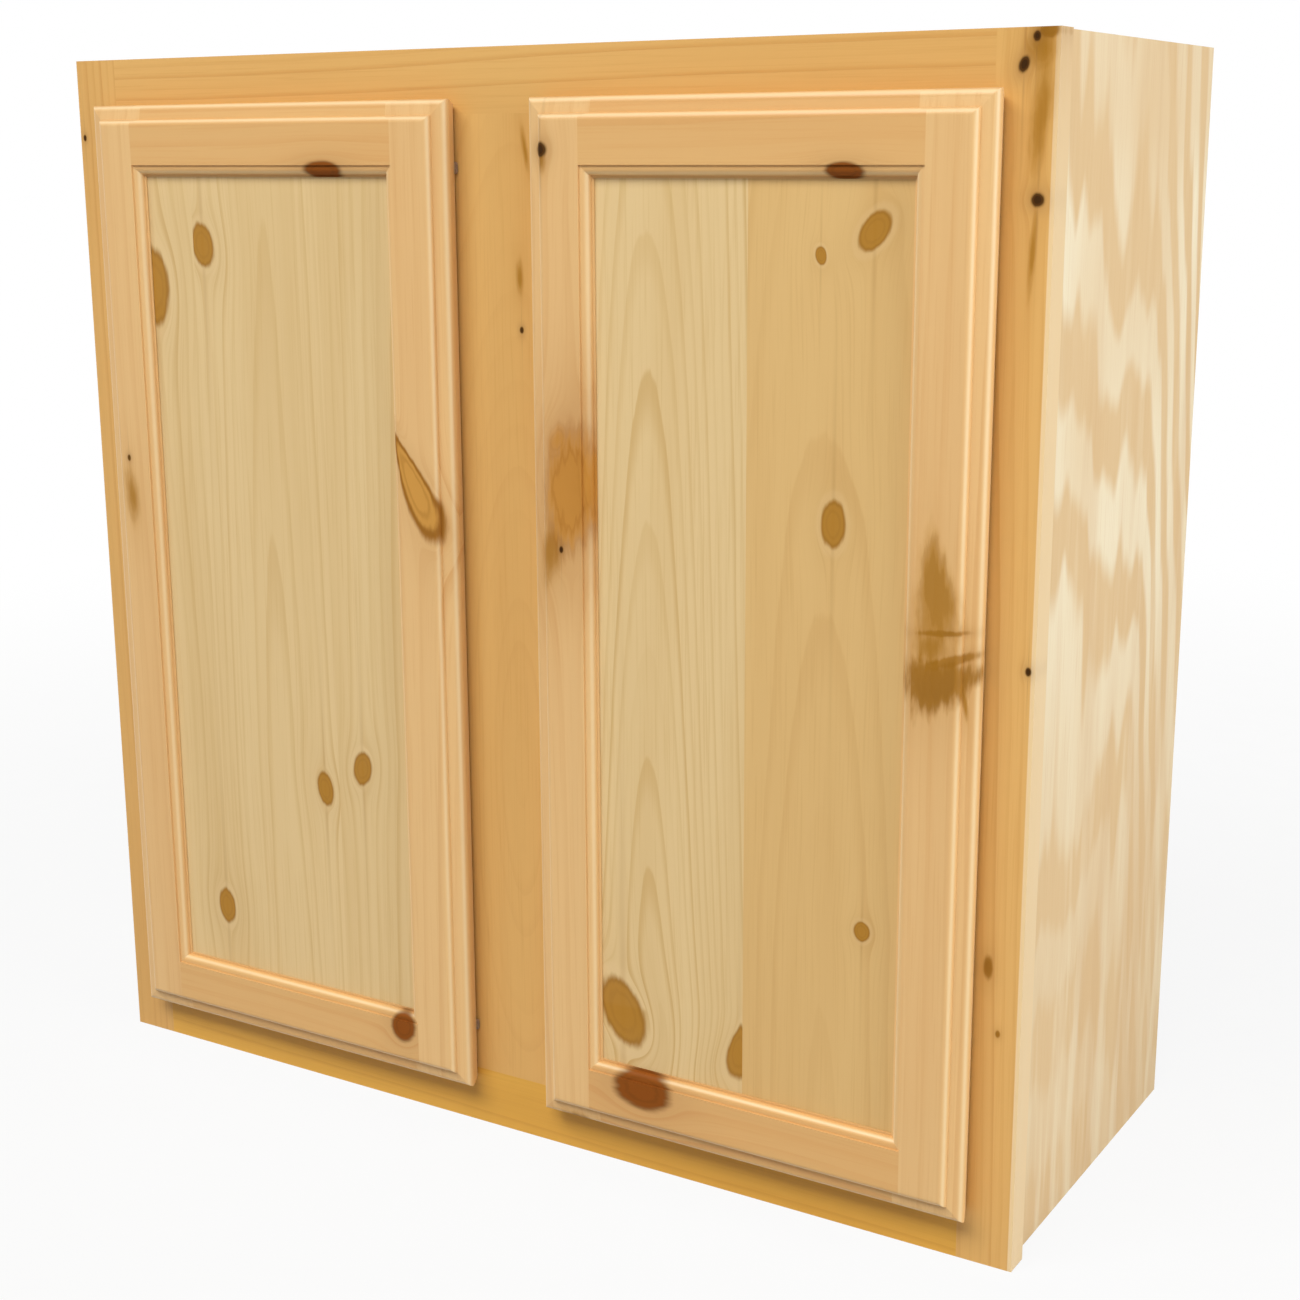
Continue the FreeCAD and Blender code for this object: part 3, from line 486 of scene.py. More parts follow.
def summer_wood(graph, board, place, seed):
    """Summer wood of a board's rings, from 0 to 1, at a place given across, along and through the board.

    The rings are cylinders round a pith line that lies behind the face and leans away from it, so that a
    face shows nested arches, an edge straight lines and an end arcs. A ring darkens slowly from spring to
    summer wood and ends sharply, and some years are fainter than others.
    """
    across, along, through = graph.split(place)
    lowest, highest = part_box(board.node)
    axis = "XYZ".index(board.grain)
    middle = (lowest[axis] + highest[axis]) / 2
    spacing = board.spacing * MM
    aside = across - board.heart * MM
    behind = through - (lowest[1] + board.pith * MM) - (along - middle) * board.taper
    radius = graph.math("SQRT", aside * aside + behind * behind)
    wander = graph.noise(place, BEND_WAVES, seed, 1.0) - 0.5
    ragged = graph.noise(place, RAGGED_WAVES, seed + 1, 2.0) - 0.5
    rings = (radius + wander * (RING_WANDER * spacing) + ragged * (RING_RAGGED * spacing)) / spacing
    number = graph.math("FLOOR", rings)
    year = graph.node("ShaderNodeTexWhiteNoise", {"noise_dimensions": "1D"}, {"W": number})
    darkness = year * year * (1 - FAINT_YEAR) + FAINT_YEAR
    return graph.hump(graph.math("FRACT", rings), SUMMER_WOOD) * darkness


def pine_finish(board, seed, pine):
    """Bare sanded pine: rings and fibres, then mouldings paled by a painted highlight, and sawn ends, then
    knots with less shine.
    """
    material, graph = new_finish("pine_" + board.node)
    x, y, z = graph.split(graph.node("ShaderNodeTexCoord", output="Object"))
    along, across = (z, x) if board.grain == "Z" else (x, z)
    fields = [knot_field(graph, across, along, knot) for knot in board.knots]
    parted = across
    contrast = board.contrast
    for (square, _streak, push), knot in zip(fields, board.knots):
        if KINDS[knot.kind].parts:
            parted = parted - push
            contrast = graph.math("EXPONENT", square * -CONTRAST_FADE) * KNOT_CONTRAST + contrast
    place = graph.node("ShaderNodeCombineXYZ", None, {0: parted, 1: along, 2: y})
    late = summer_wood(graph, board, place, seed)
    drift = graph.smooth(graph.noise(place, DRIFT_WAVES, seed + 2), *DRIFT_STEP)
    fibre = graph.noise(place, FIBRE_WAVES, seed + 3, 3.0)

    early_colour = getattr(pine, board.tone + "_early")
    late_colour = getattr(pine, board.tone + "_late")
    base = graph.mix(late * contrast * RING_DEPTH, early_colour, late_colour)
    base = graph.mix(drift * DRIFT_DEPTH, base, late_colour)
    base = graph.mix(graph.smooth(fibre, *FIBRE_STEP) * FIBRE_DEPTH, base, late_colour)
    if board.sap is not None:
        sap = graph.smooth(across, (board.sap - SAP_EDGE) * MM, board.sap * MM)
        base = graph.mix(sap, base, pine.sapwood)
    # Painted highlight: surfaces that face no axis squarely, the rounded mouldings, are paled towards the
    # moulding colour in place of the light they catch.
    facing = [abs(part) for part in graph.split(graph.node("ShaderNodeTexCoord", output="Normal"))]
    square_on = graph.math("MAXIMUM", graph.math("MAXIMUM", facing[0], facing[1]), facing[2])
    base = graph.mix((1 - graph.smooth(square_on, *FLAT_STEP)) * pine.moulding, base, pine.cut)
    sawn = graph.smooth(facing["XYZ".index(board.grain)], *END_STEP)
    base = graph.mix(sawn * END_DEPTH, base, pine.end_grain)
    relief = fibre * FIBRE_HEIGHT + late * RING_HEIGHT
    if fields:
        point = graph.node("ShaderNodeCombineXYZ", None, {0: across, 1: along, 2: y})
        base, knotted = paint_knots(graph, base, board, fields, point, seed + 4, pine)
        relief = relief + knotted * KNOT_HEIGHT

    normal = graph.bump(relief, PINE_RELIEF, PINE_BUMP)
    smoothest = pine.roughness - PINE_ROUGHNESS_SPREAD / 2
    sanded = graph.shader({
        "Base Color": base,
        "Roughness": fibre * PINE_ROUGHNESS_SPREAD + smoothest - late * SUMMER_SHINE,
        "Specular IOR Level": PINE_SPECULAR,
        "Sheen Weight": pine.sheen,
        "Sheen Roughness": SHEEN_ROUGHNESS,
        "Sheen Tint": pine.sapwood,
        "Normal": normal,
    })
    if not fields:
        graph.surface(sanded)
        return material
    dull = graph.shader({
        "Base Color": base,
        "Roughness": fibre * KNOT_ROUGHNESS_SPREAD + KNOT_ROUGHNESS,
        "Specular IOR Level": KNOT_SPECULAR,
        "Normal": normal,
    })
    graph.surface(graph.node("ShaderNodeMixShader", None, {0: knotted, 1: sanded, 2: dull}))
    return material


def finish_boards(boards, group):
    pine = bpy.context.scene.cabinet_pine
    for number, board in enumerate(boards):
        dress(board.node, pine_finish(board, seed_of(group, number), pine))


class CABINET_OT_face_frame(bpy.types.Operator):
    """Finishes the stiles and rails of the face frame in pine."""

    bl_idname = "cabinet.face_frame"
    bl_label = "Face Frame"

    def execute(self, context):
        finish_boards(FACE_FRAME, "face_frame")
        return {"FINISHED"}


class CABINET_OT_door_members(bpy.types.Operator):
    """Finishes the moulded stiles and rails of both doors in pine."""

    bl_idname = "cabinet.door_members"
    bl_label = "Door Stiles and Rails"

    def execute(self, context):
        finish_boards(DOOR_MEMBERS, "door_members")
        return {"FINISHED"}


class CABINET_OT_door_panels(bpy.types.Operator):
    """Finishes the glued boards of both door panels in pine."""

    bl_idname = "cabinet.door_panels"
    bl_label = "Door Panels"

    def execute(self, context):
        finish_boards(DOOR_PANELS, "door_panels")
        return {"FINISHED"}


class CABINET_OT_hanging_rails(bpy.types.Operator):
    """Finishes the hanging rails behind the back panel in pine."""

    bl_idname = "cabinet.hanging_rails"
    bl_label = "Hanging Rails"

    def execute(self, context):
        finish_boards(HANGING_RAILS, "hanging_rails")
        return {"FINISHED"}


# Plywood

# A panel's veneer runs along one axis; across and thickness are the other two.
Panel = namedtuple("Panel", "node along across thickness")

CASE_PANELS = [
    Panel("left_side_panel", "Z", "Y", "X"),
    Panel("right_side_panel", "Z", "Y", "X"),
    Panel("bottom_panel", "X", "Y", "Z"),
    Panel("top_panel", "X", "Y", "Z"),
    Panel("back_panel", "Z", "X", "Y"),
]
SHELVES = [
    Panel("lower_shelf", "X", "Y", "Z"),
    Panel("upper_shelf", "X", "Y", "Z"),
]

# Bands of the veneer; lengths are in metres.
BAND_HEIGHT = 0.15      # one pale and one dark band, along the grain
BAND_START = 0.33       # shift of the bands, as a share of their height
BAND_CLIMB = 0.55       # fall of the bands across the grain
BAND_TURN = 0.19        # across the grain from here the bands run almost upright
BAND_STEEP = 4.5        # how steeply they fall there
BAND_SPIKE = 0.13       # height of the spikes on the bands
BAND_WANDER = 0.3       # slow rise and fall of the bands
FLAME = (0.32, 0.52, 0.82, 1.0)  # hump of the pale flame within a band
FLAME_WEAK = 0.4        # how far the weakest flames go towards cream
FLAME_GAIN = 0.9        # and what the strongest add to that
FLAME_STEP = (0.3, 0.55)
FLAME_FOOT = 0.1        # strength of the flames at the panel's lower end
FADE_FOOT = 0.4         # share of the flames that is left at the lower end
FADE_FOOT_STEP = (0.2, 0.62)
FADE_TOP = 0.6          # share of the flames that is lost at the upper end
FADE_TOP_STEP = (0.84, 0.95)
WISP_STEP = (0.47, 0.66)
WISP_DEPTH = 0.5        # how far pale wisps at the lower end go towards cream
BLUSH_STEP = (0.45, 0.7)
BLUSH_DEPTH = 0.35      # how far broad streaks go towards the colour of the lines
LINE_STEP = (0.5, 0.8)
LINE_DEPTH = 0.35       # how far fine lines do
CORE_STEP = (0.47, 0.53)
CORE_DEPTH = 0.8        # how dark a cross ply is
SAWN_STEP = (0.45, 0.8)
SAWN_DEPTH = 0.5        # how dark the fibres of a sawn edge are
FACE_STEP = (0.4, 0.6)  # how squarely an edge and a face look out
VENEER_ROUGHNESS_SPREAD = 0.14
VENEER_SPECULAR = 0.3
VENEER_RELIEF = 0.25 * MM
VENEER_BUMP = 0.35

# Noise in waves per metre across and along the veneer.
SPIKE_WAVES = (48, 2.5, 1)
WANDER_WAVES = (6, 3.2, 1)
STRENGTH_WAVES = (7, 2, 1)
WISP_WAVES = (58, 5, 1)
BLUSH_WAVES = (34, 2.2, 1)
LINE_WAVES = (900, 14, 1)


def veneer_flames(graph, panel, sheet, seed):
    """Strength of the pale flames of a rotary-cut veneer, and how far up the panel a place lies.

    The knife peels the log almost along its rings, so the veneer shows broad pale and dark bands with spiked
    edges. They are the level lines of a surface that rises along the grain, falls across it and falls
    steeply near one edge. They fade towards both ends of the panel, which lie at 0 and 1.
    """
    across, along, _flat = graph.split(sheet)
    lowest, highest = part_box(panel.node)
    depth = graph.math("PINGPONG", across - lowest["XYZ".index(panel.across)], 2 * BAND_TURN)
    spikes = graph.noise(sheet, SPIKE_WAVES, seed, 1.0) - 0.5
    wander = graph.noise(sheet, WANDER_WAVES, seed + 1, 1.0) - 0.5
    steep = graph.math("MAXIMUM", depth - BAND_TURN, 0.0) * BAND_STEEP
    level = along + depth * BAND_CLIMB + steep + spikes * BAND_SPIKE + wander * BAND_WANDER
    flame = graph.hump(graph.math("FRACT", level / BAND_HEIGHT - BAND_START), FLAME)
    run = "XYZ".index(panel.along)
    rise = (along - lowest[run]) / (highest[run] - lowest[run])
    patches = graph.smooth(graph.noise(sheet, STRENGTH_WAVES, seed + 4, 1.0), *FLAME_STEP)
    strength = patches * (rise * (1 - FLAME_FOOT) + FLAME_FOOT)
    kept_high = 1 - graph.smooth(rise, *FADE_TOP_STEP) * FADE_TOP
    kept_low = graph.smooth(rise, *FADE_FOOT_STEP) * (1 - FADE_FOOT) + FADE_FOOT
    return flame * (kept_high * kept_low) * (strength * FLAME_GAIN + FLAME_WEAK), rise


def plywood_finish(panel, seed, plywood):
    """Softwood plywood: a flamed veneer with wisps, streaks and lines, and sawn edges that show the plies."""
    material, graph = new_finish("plywood_" + panel.node)
    axes = dict(zip("XYZ", graph.split(graph.node("ShaderNodeTexCoord", output="Object"))))
    sheet = graph.node("ShaderNodeCombineXYZ", None, {0: axes[panel.across], 1: axes[panel.along], 2: 0.0})
    flames, rise = veneer_flames(graph, panel, sheet, seed)
    wisps = graph.smooth(graph.noise(sheet, WISP_WAVES, seed + 5, 3.0), *WISP_STEP) * (1 - rise)
    blush = graph.smooth(graph.noise(sheet, BLUSH_WAVES, seed + 2, 2.0), *BLUSH_STEP)
    fibre = graph.noise(sheet, LINE_WAVES, seed + 3, 3.0)
    face = graph.mix(flames, plywood.tan, plywood.cream)
    face = graph.mix(wisps * WISP_DEPTH, face, plywood.cream)
    face = graph.mix(blush * BLUSH_DEPTH, face, plywood.line)
    face = graph.mix(graph.smooth(fibre, *LINE_STEP) * LINE_DEPTH, face, plywood.line)
    thin = "XYZ".index(panel.thickness)
    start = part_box(panel.node)[0][thin]
    ply = graph.math("FRACT", (axes[panel.thickness] - start) / (2 * plywood.ply))
    plies = graph.mix(graph.smooth(ply, *CORE_STEP) * CORE_DEPTH, plywood.tan, plywood.inner)
    plies = graph.mix(graph.smooth(fibre, *SAWN_STEP) * SAWN_DEPTH, plies, plywood.inner)
    facing = abs(graph.split(graph.node("ShaderNodeTexCoord", output="Normal"))[thin])
    smoothest = plywood.roughness - VENEER_ROUGHNESS_SPREAD / 2
    graph.surface(graph.shader({
        "Base Color": graph.mix(graph.smooth(facing, *FACE_STEP), plies, face),
        "Roughness": fibre * VENEER_ROUGHNESS_SPREAD + smoothest,
        "Specular IOR Level": VENEER_SPECULAR,
        "Normal": graph.bump(fibre, VENEER_RELIEF, VENEER_BUMP),
    }))
    return material


def finish_panels(panels, group):
    plywood = bpy.context.scene.cabinet_plywood
    for number, panel in enumerate(panels):
        dress(panel.node, plywood_finish(panel, seed_of(group, number), plywood))


class CABINET_OT_case(bpy.types.Operator):
    """Finishes the sides, bottom, top and back of the case in plywood."""

    bl_idname = "cabinet.case"
    bl_label = "Case"

    def execute(self, context):
        finish_panels(CASE_PANELS, "case")
        return {"FINISHED"}


class CABINET_OT_shelves(bpy.types.Operator):
    """Finishes the adjustable shelves in plywood."""

    bl_idname = "cabinet.shelves"
    bl_label = "Shelves"

    def execute(self, context):
        finish_panels(SHELVES, "shelves")
        return {"FINISHED"}


# Hinges, pins and screws

PLATED_NODES = ["left_hinge_arms", "right_hinge_arms", "left_hinge_cups", "right_hinge_cups",
                "left_hinge_pins", "right_hinge_pins", "lower_shelf_pins", "upper_shelf_pins"]

DRAWN_WAVES = (2600, 2600, 90)   # drawing lines, in waves per metre
TARNISH_WAVES = (140, 140, 140)  # dull patches
TARNISH_STEP = (0.52, 0.72)
TARNISH_DEPTH = 0.5
DRAWN_ROUGHNESS = 0.16
TARNISH_ROUGHNESS = 0.15
DRAWN_RELIEF = 0.05 * MM
DRAWN_BUMP = 0.2


def plated_finish(name, plate, metal, seed):
    """Plated steel: fine drawing lines along Z and dull patches."""
    material, graph = new_finish(name)
    place = graph.node("ShaderNodeTexCoord", output="Object")
    lines = graph.noise(place, DRAWN_WAVES, seed, 2.0)
    patch = graph.smooth(graph.noise(place, TARNISH_WAVES, seed + 1, 3.0), *TARNISH_STEP)
    smoothest = metal.roughness - DRAWN_ROUGHNESS / 2
    graph.surface(graph.shader({
        "Base Color": graph.mix(patch * TARNISH_DEPTH, plate, metal.tarnish),
        "Metallic": 1.0,
        "Roughness": lines * DRAWN_ROUGHNESS + patch * TARNISH_ROUGHNESS + smoothest,
        "Normal": graph.bump(lines, DRAWN_RELIEF, DRAWN_BUMP),
    }))
    return material


class CABINET_OT_hinges(bpy.types.Operator):
    """Finishes the hinge arms, cups and pins and the shelf pins in nickel."""

    bl_idname = "cabinet.hinges"
    bl_label = "Hinges and Pins"

    def execute(self, context):
        metal = context.scene.cabinet_metal
        material = plated_finish("nickel_plate", metal.nickel, metal, seed_of("nickel"))
        for node in PLATED_NODES:
            dress(node, material)
        return {"FINISHED"}


def round_solid(stations, heights, turns, sink=None):
    """Points and faces of a closed solid turned from a profile.

    A point lies at its station's radius times the outline at its angle, and at its station's height less
    the sink there. The outline is 1 for a round solid. The first and last stations are single points.
    """
    angles, outline = turns
    radius = np.asarray(stations)[1:-1, None] * outline[None, :]
    level = np.repeat(np.asarray(heights)[1:-1, None], len(angles), axis=1)
    right = radius * np.cos(angles)
    up = radius * np.sin(angles)
    if sink:
        level = level - sink(right, up)
    ring = np.stack([right, up, level], axis=-1).reshape(-1, 3)
    top = heights[0] - (sink(np.zeros(1), np.zeros(1))[0] if sink else 0.0)
    points = np.vstack([[0, 0, top], ring, [0, 0, heights[-1]]])
    count = len(angles)
    near = np.arange(count)
    following = (near + 1) % count
    rows = np.arange(len(stations) - 3)[:, None] * count + 1
    corners = [rows + near, rows + count + near, rows + count + following, rows + following]
    quads = np.stack(corners, axis=-1).reshape(-1, 4)
    last = len(points) - 1
    cap = np.stack([np.zeros(count, int), near + 1, following + 1], axis=-1)
    base = last - count
    foot = np.stack([np.full(count, last), base + following, base + near], axis=-1)
    return points, quads, np.vstack([cap, foot])


def merge_solids(name, solids):
    """One mesh object at the origin from several (points, quads, triangles)."""
    points, faces, start = [], [], 0
    for solid_points, quads, triangles in solids:
        points.append(solid_points)
        faces.extend((quads + start).tolist())
        faces.extend((triangles + start).tolist())
        start += len(solid_points)
    mesh = bpy.data.meshes.new(name)
    mesh.from_pydata(np.vstack(points).tolist(), [], faces)
    mesh.update()
    mesh.shade_smooth()
    piece = bpy.data.objects.new(name, mesh)
    bpy.context.scene.collection.objects.link(piece)
    return piece


def stand(solid, middle, outward):
    """Turns a solid's height axis to an outward direction and moves it to its place."""
    points, quads, triangles = solid
    height = np.asarray(outward, float)
    side = np.array([0.0, 0.0, 1.0])
    basis = np.stack([np.cross(side, height), side, height])
    return points @ basis + np.asarray(middle), quads, triangles


SCREW_TURNS = 48
SCREW_RADIUS = 3.4 * MM
SHANK_RADIUS = 1.8 * MM
SHANK_SHOWN = 4.0 * MM   # the shank is hidden in the wood below this
PLATE_HEAD = 1.2 * MM    # thickness of a plate screw's head
CUP_HEAD = 0.8 * MM      # thickness of a cup screw's head
PLATE_SPREAD = 30 * MM   # between the two screws of a hinge plate
CUP_SPREAD = 44 * MM     # between the two screws of a hinge cup
CROWN_STEPS = 16         # rings of points on the crown of the head
CROWN_REACH = 0.9        # how far out they go, as a share of the head's radius
EDGE_REACH = 0.96        # one more ring near the edge
SCREW_CORNER = 0.25      # rounding of the head's edge, as a share of its thickness
CROSS_REACH = 0.62       # length of the cross recess, as a share of the head's radius
CROSS_HALF = 0.13        # half width of a recess arm
CROSS_DEPTH = 0.75       # depth of the recess, as a share of the head's thickness
CROSS_WALL = 0.08        # width of an arm's sloping side wall
CROSS_END = 0.12         # width of its sloping end wall


def screw_solid(thickness):
    """Flat headed screw, from the middle of the head to the tip of the shank.

    The head falls by a quarter of its thickness as the fourth power of the radius, turns over its edge and
    comes back under to the shank. The recess is the crossing of two bars with sloping walls.
    """
    crown = np.concatenate([np.linspace(0, CROWN_REACH, CROWN_STEPS), [EDGE_REACH, 1.0]])
    stations = [*(crown * SCREW_RADIUS), SCREW_RADIUS, SHANK_RADIUS, SHANK_RADIUS, 0.0]
    heights = [*(thickness * (1 - SCREW_CORNER * crown ** 4)), 0.0, 0.0, -SHANK_SHOWN, -SHANK_SHOWN]
    angles = np.linspace(0, 2 * np.pi, SCREW_TURNS, endpoint=False)

    def cross(right, up):
        wide = np.maximum(np.abs(right), np.abs(up)) / SCREW_RADIUS
        thin = np.minimum(np.abs(right), np.abs(up)) / SCREW_RADIUS
        beside = np.clip((CROSS_HALF - thin) / CROSS_WALL + 0.5, 0, 1)
        within = np.clip((CROSS_REACH - wide) / CROSS_END, 0, 1)
        return CROSS_DEPTH * thickness * (beside * within)

    return round_solid(stations, heights, (angles, np.ones(SCREW_TURNS)), cross)


def screw_levels(node, spread):
    """Heights of the four screws of a node: two hinges with two screws each."""
    lowest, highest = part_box(node)
    first, last = lowest[2] + SCREW_RADIUS, highest[2] - SCREW_RADIUS
    return [first, first + spread, last - spread, last]


class CABINET_OT_screws(bpy.types.Operator):
    """Makes the cross recessed screws of the hinge plates and cups."""

    bl_idname = "cabinet.screws"
    bl_label = "Hinge Screws"

    def execute(self, context):
        metal = context.scene.cabinet_metal
        material = plated_finish("zinc_plate", metal.screw, metal, seed_of("zinc"))
        for sign, hand in ((-1, "left"), (1, "right")):
            node = hand + "_hinge_plate_screws"
            lowest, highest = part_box(node)
            depth = (lowest[1] + highest[1]) / 2
            head_face = lowest[0] if sign > 0 else highest[0]
            places = [(head_face, depth, level) for level in screw_levels(node, PLATE_SPREAD)]
            self.make(node, "carcass", PLATE_HEAD, places, (-sign, 0, 0), material)
            node = hand + "_hinge_cup_screws"
            lowest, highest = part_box(node)
            middle = (lowest[0] + highest[0]) / 2
            places = [(middle, highest[1], level) for level in screw_levels(node, CUP_SPREAD)]
            self.make(node, hand + "_door", CUP_HEAD, places, (0, 1, 0), material)
        return {"FINISHED"}

    def make(self, node, body, thickness, places, outward, material):
        """One piece of all the screws whose heads end at the given places."""
        solid = screw_solid(thickness)
        shift = np.asarray(outward) * thickness
        solids = [stand(solid, np.asarray(place) - shift, outward) for place in places]
        piece = merge_solids(node + "_crossed", solids)
        piece.data.materials.append(material)
        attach(piece, body)
        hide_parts(node)


# Felt pads

PAD_TURNS = 64
PAD_SQUARENESS = 5.0     # power of the outline
PAD_ROLL_STEPS = 8       # rings of points on the rolled edge
PAD_ROLL = 0.2           # width of the rolled edge, as a share of half the side
PAD_ROLL_HEIGHT = 0.5    # height of the rolled edge, as a share of the thickness
PAD_FLAT = (0, 0.3, 0.6)  # rings of points on the flat, as shares of half the side
CLUMP_WAVES = (900, 900, 900)
FELT_WAVES = (5200, 900, 1500)
CLUMP_SHARE = 0.6        # clumps against single fibres
FELT_STEP = (0.35, 0.65)
FELT_ROUGHNESS = 0.88
FELT_ROUGHNESS_SPREAD = 0.1
FELT_SHEEN = 0.4
FELT_RELIEF = 0.3 * MM
FELT_BUMP = 0.6


def felt_pad(half_side, thickness):
    """Square felt pad with soft corners and edges.

    The outline is a superellipse, and the front edge rolls over as a quarter of an ellipse.
    """
    angles = np.linspace(0, 2 * np.pi, PAD_TURNS, endpoint=False)
    power = PAD_SQUARENESS
    outline = (np.abs(np.cos(angles)) ** power + np.abs(np.sin(angles)) ** power) ** (-1 / power)
    roll = np.linspace(0, np.pi / 2, PAD_ROLL_STEPS)
    edge = (1 - PAD_ROLL) + PAD_ROLL * np.sin(roll)
    fall = (1 - PAD_ROLL_HEIGHT) + PAD_ROLL_HEIGHT * np.cos(roll)
    stations = np.concatenate([PAD_FLAT, edge, [1.0, 0.0]]) * half_side
    heights = np.concatenate([np.ones(len(PAD_FLAT)), fall, [0.0, 0.0]]) * thickness
    return round_solid(stations, heights, (angles, outline))


def felt_finish(metal):
    """Pressed felt: matted fibres in two colours with a soft sheen."""
    material, graph = new_finish("pressed_felt")
    place = graph.node("ShaderNodeTexCoord", output="Object")
    clump = graph.noise(place, CLUMP_WAVES, seed_of("felt_clump"), 3.0)
    fibre = graph.noise(place, FELT_WAVES, seed_of("felt_fibre"), 2.0)
    mat = clump * CLUMP_SHARE + fibre * (1 - CLUMP_SHARE)
    graph.surface(graph.shader({
        "Base Color": graph.mix(graph.smooth(mat, *FELT_STEP), metal.felt, metal.felt_tip),
        "Roughness": mat * FELT_ROUGHNESS_SPREAD + FELT_ROUGHNESS,
        "Sheen Weight": FELT_SHEEN,
        "Normal": graph.bump(mat, FELT_RELIEF, FELT_BUMP),
    }))
    return material


class CABINET_OT_pads(bpy.types.Operator):
    """Makes the felt pads behind the free edges of the doors."""

    bl_idname = "cabinet.pads"
    bl_label = "Felt Pads"

    def execute(self, context):
        material = felt_finish(context.scene.cabinet_metal)
        for hand in ("left", "right"):
            node = hand + "_door_pads"
            lowest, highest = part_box(node)
            half_side = (highest[0] - lowest[0]) / 2
            middle = (lowest[0] + highest[0]) / 2
            pad = felt_pad(half_side, highest[1] - lowest[1])
            levels = (lowest[2] + half_side, highest[2] - half_side)
            solids = [stand(pad, (middle, lowest[1], level), (0, 1, 0)) for level in levels]
            piece = merge_solids(node + "_felt", solids)
            piece.data.materials.append(material)
            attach(piece, hand + "_door")
            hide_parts(node)
        return {"FINISHED"}


# Stage

FLOOR_HALF = 6.0      # half the floor's side
FLOOR_GAP = 0.2 * MM  # the floor lies this far below the cabinet
FLOOR_NEAR = 0.7      # the floor keeps the cabinet's shadow this far out
FLOOR_FAR = 2.2       # and is plain background from here
FLOOR_WASH = 0.9      # background share of the near floor
FLOOR_WAVES = (30, 30, 30)
SKY_STEP = (-1.0, 0.6)  # the sky brightens between these heights; -1 is straight down
AIM = Vector((0.0, -0.2, -0.3))  # both lamps point here
KEY_PLACE = (-0.6, -4.3, 4.9)
KEY_SIZE = (7.0, 2.6)
FILL_PLACE = (2.7, -0.5, 0.3)
FILL_SIZE = (1.6, 1.6)


def background_ray(graph):
    """1 for what the eye sees straight on, in a mirror or through glass."""
    rays = [graph.node("ShaderNodeLightPath", output="Is %s Ray" % kind)
            for kind in ("Camera", "Glossy", "Transmission")]
    return graph.math("MAXIMUM", graph.math("MAXIMUM", rays[0], rays[1]), rays[2])


def make_floor(stage):
    corners = [(-FLOOR_HALF, -FLOOR_HALF), (FLOOR_HALF, -FLOOR_HALF), (FLOOR_HALF, FLOOR_HALF),
               (-FLOOR_HALF, FLOOR_HALF)]
    level = CAD_BOX[0][2] - FLOOR_GAP
    mesh = bpy.data.meshes.new("floor")
    mesh.from_pydata([(x, y, level) for x, y in corners], [], [(0, 1, 2, 3)])
    material, graph = new_finish("pale_floor")
    place = graph.node("ShaderNodeTexCoord", output="Object")
    x, y, _z = graph.split(place)
    away = graph.smooth(graph.math("SQRT", x * x + y * y), FLOOR_NEAR, FLOOR_FAR)
    grain = graph.noise(place, FLOOR_WAVES, seed_of("floor"), 2.0)
    plain = graph.node("ShaderNodeBsdfDiffuse", None, {"Color": stage.floor, "Roughness": grain})
    white = graph.node("ShaderNodeEmission", None, {"Strength": 1.0})
    wash = background_ray(graph) * (away * (1 - FLOOR_WASH) + FLOOR_WASH)
    graph.surface(graph.node("ShaderNodeMixShader", None, {0: wash, 1: plain, 2: white}))
    mesh.materials.append(material)
    floor = bpy.data.objects.new("floor", mesh)
    bpy.context.scene.collection.objects.link(floor)


def make_sky(stage):
    """White to the eye; as light, brighter from above than from below."""
    world = bpy.data.worlds.new("studio")
    bpy.context.scene.world = world
    world.use_nodes = True
    graph = Graph(world.node_tree)
    _x, _y, up = graph.split(graph.node("ShaderNodeTexCoord", output="Generated"))
    strength = graph.smooth(up, *SKY_STEP) * stage.sky
    light = graph.node("ShaderNodeBackground", None, {"Strength": strength})
    white = graph.node("ShaderNodeBackground", None, {"Color": (1, 1, 1), "Strength": 1.0})
    shader = graph.node("ShaderNodeMixShader", None, {0: background_ray(graph), 1: light, 2: white})
    graph.node("ShaderNodeOutputWorld", None, {"Surface": shader})


def add_lamp(name, place, power, size):
    lamp = bpy.data.lights.new(name, "AREA")
    lamp.energy = power
    lamp.shape = "RECTANGLE"
    lamp.size, lamp.size_y = size
    holder = bpy.data.objects.new(name, lamp)
    holder.location = place
    holder.rotation_euler = (AIM - Vector(place)).to_track_quat("-Z", "Y").to_euler()
    bpy.context.scene.collection.objects.link(holder)


def add_camera(stage):
    """Camera axes from yaw to the left, pitch down and roll about the view."""
    yaw, pitch, roll = stage.yaw, stage.pitch, stage.roll
    forward = Vector((-math.sin(yaw) * math.cos(pitch), math.cos(yaw) * math.cos(pitch), -math.sin(pitch)))
    level = Vector((math.cos(yaw), math.sin(yaw), 0.0))
    rise = level.cross(forward)
    right = level * math.cos(roll) + rise * math.sin(roll)
    up = rise * math.cos(roll) - level * math.sin(roll)
    data = bpy.data.cameras.new("photo_camera")
    data.lens = stage.lens
    camera = bpy.data.objects.new("photo_camera", data)
    turn = Matrix((right, up, -forward)).transposed().to_4x4()
    camera.matrix_world = Matrix.Translation(Vector(stage.camera_place)) @ turn
    bpy.context.scene.collection.objects.link(camera)
    bpy.context.scene.camera = camera


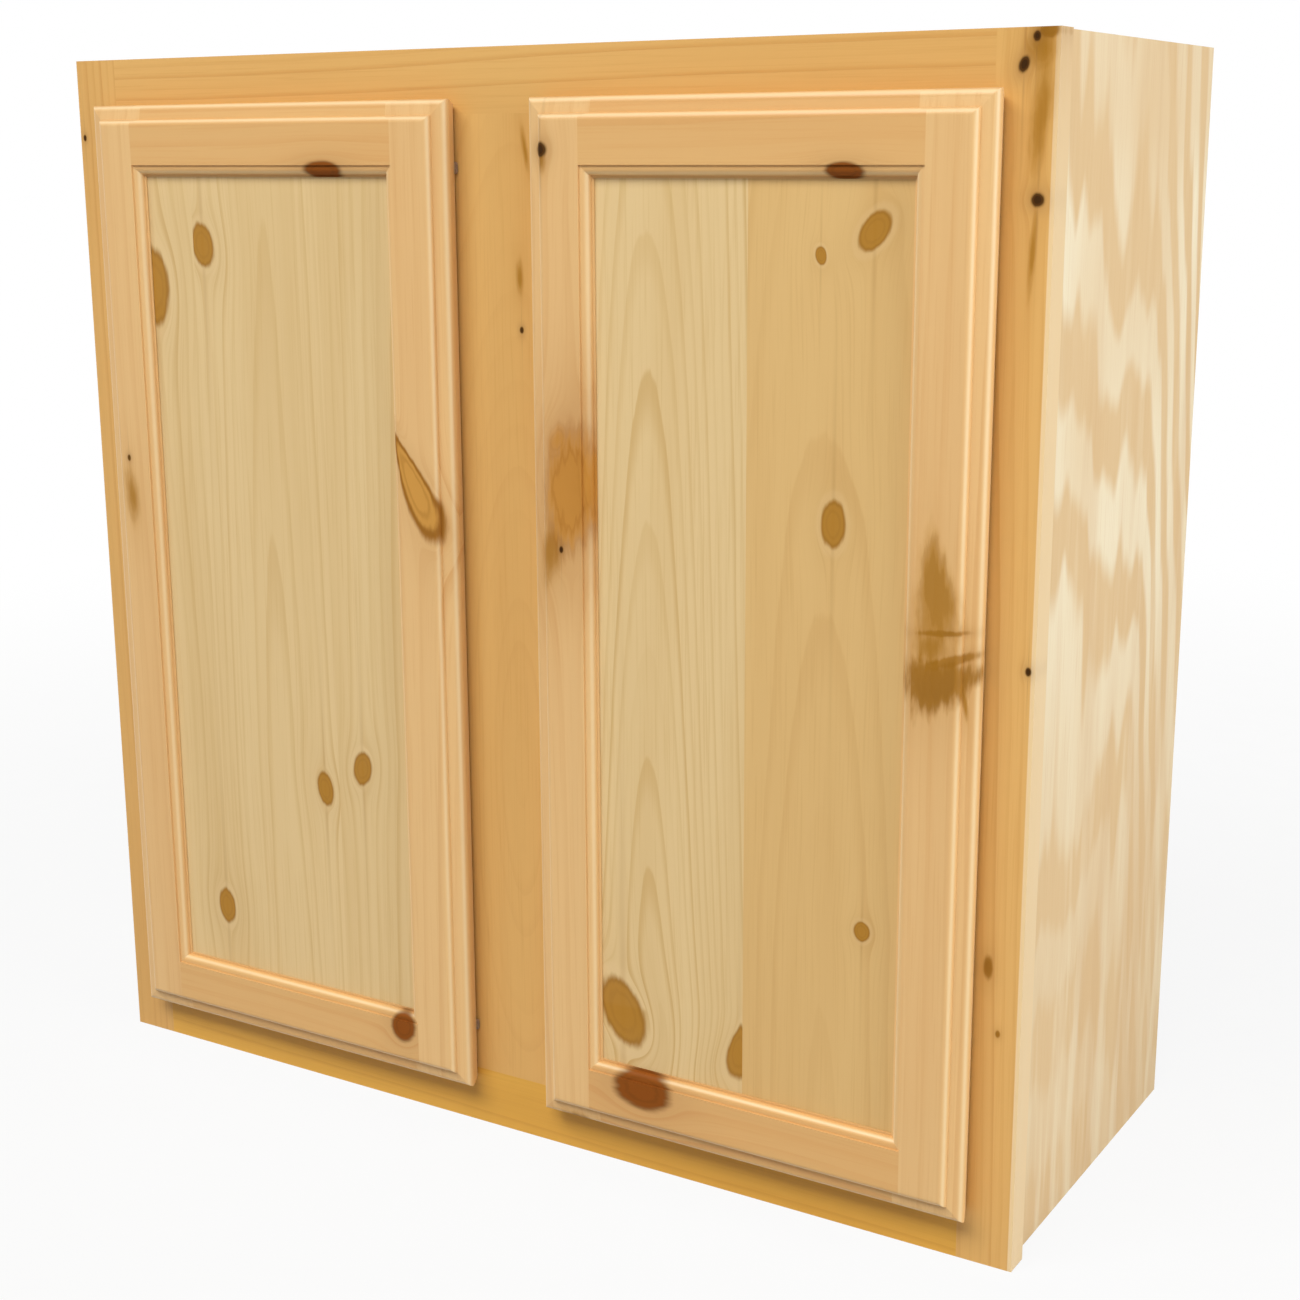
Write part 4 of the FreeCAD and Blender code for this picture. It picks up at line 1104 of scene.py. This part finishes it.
class CABINET_OT_stage(bpy.types.Operator):
    """Sets up the floor, the light and the camera."""

    bl_idname = "cabinet.stage"
    bl_label = "Stage"

    def execute(self, context):
        stage = context.scene.cabinet_stage
        make_floor(stage)
        make_sky(stage)
        add_lamp("key", KEY_PLACE, stage.key, KEY_SIZE)
        add_lamp("fill", FILL_PLACE, stage.fill, FILL_SIZE)
        add_camera(stage)
        context.scene.view_settings.view_transform = "Standard"
        return {"FINISHED"}


class CABINET_PT_finishes(bpy.types.Panel):
    """Lists the pieces and their settings in the sidebar."""

    bl_idname = "CABINET_PT_finishes"
    bl_label = "Wall Cabinet"
    bl_space_type = "VIEW_3D"
    bl_region_type = "UI"
    bl_category = "Cabinet"

    def draw(self, context):
        for operator in OPERATORS:
            self.layout.operator(operator.bl_idname)
        for name in SETTINGS:
            group = getattr(context.scene, name)
            box = self.layout.box()
            for setting in group.__annotations__:
                box.prop(group, setting)


SETTINGS = {
    "cabinet_pine": PineSettings,
    "cabinet_plywood": PlywoodSettings,
    "cabinet_metal": MetalSettings,
    "cabinet_stage": StageSettings,
}
OPERATORS = [CABINET_OT_face_frame, CABINET_OT_door_members, CABINET_OT_door_panels, CABINET_OT_hanging_rails,
             CABINET_OT_case, CABINET_OT_shelves, CABINET_OT_hinges, CABINET_OT_screws, CABINET_OT_pads,
             CABINET_OT_stage]


def register():
    for name, group in SETTINGS.items():
        bpy.utils.register_class(group)
        setattr(bpy.types.Scene, name, PointerProperty(type=group))
    for cls in OPERATORS + [CABINET_PT_finishes]:
        bpy.utils.register_class(cls)


def unregister():
    for cls in [CABINET_PT_finishes] + OPERATORS[::-1]:
        bpy.utils.unregister_class(cls)
    for name, group in SETTINGS.items():
        delattr(bpy.types.Scene, name)
        bpy.utils.unregister_class(group)


def main():
    register()
    bpy.ops.cabinet.face_frame()
    bpy.ops.cabinet.door_members()
    bpy.ops.cabinet.door_panels()
    bpy.ops.cabinet.hanging_rails()
    bpy.ops.cabinet.case()
    bpy.ops.cabinet.shelves()
    bpy.ops.cabinet.hinges()
    bpy.ops.cabinet.screws()
    bpy.ops.cabinet.pads()
    bpy.ops.cabinet.stage()


if __name__ == "__main__":
    main()
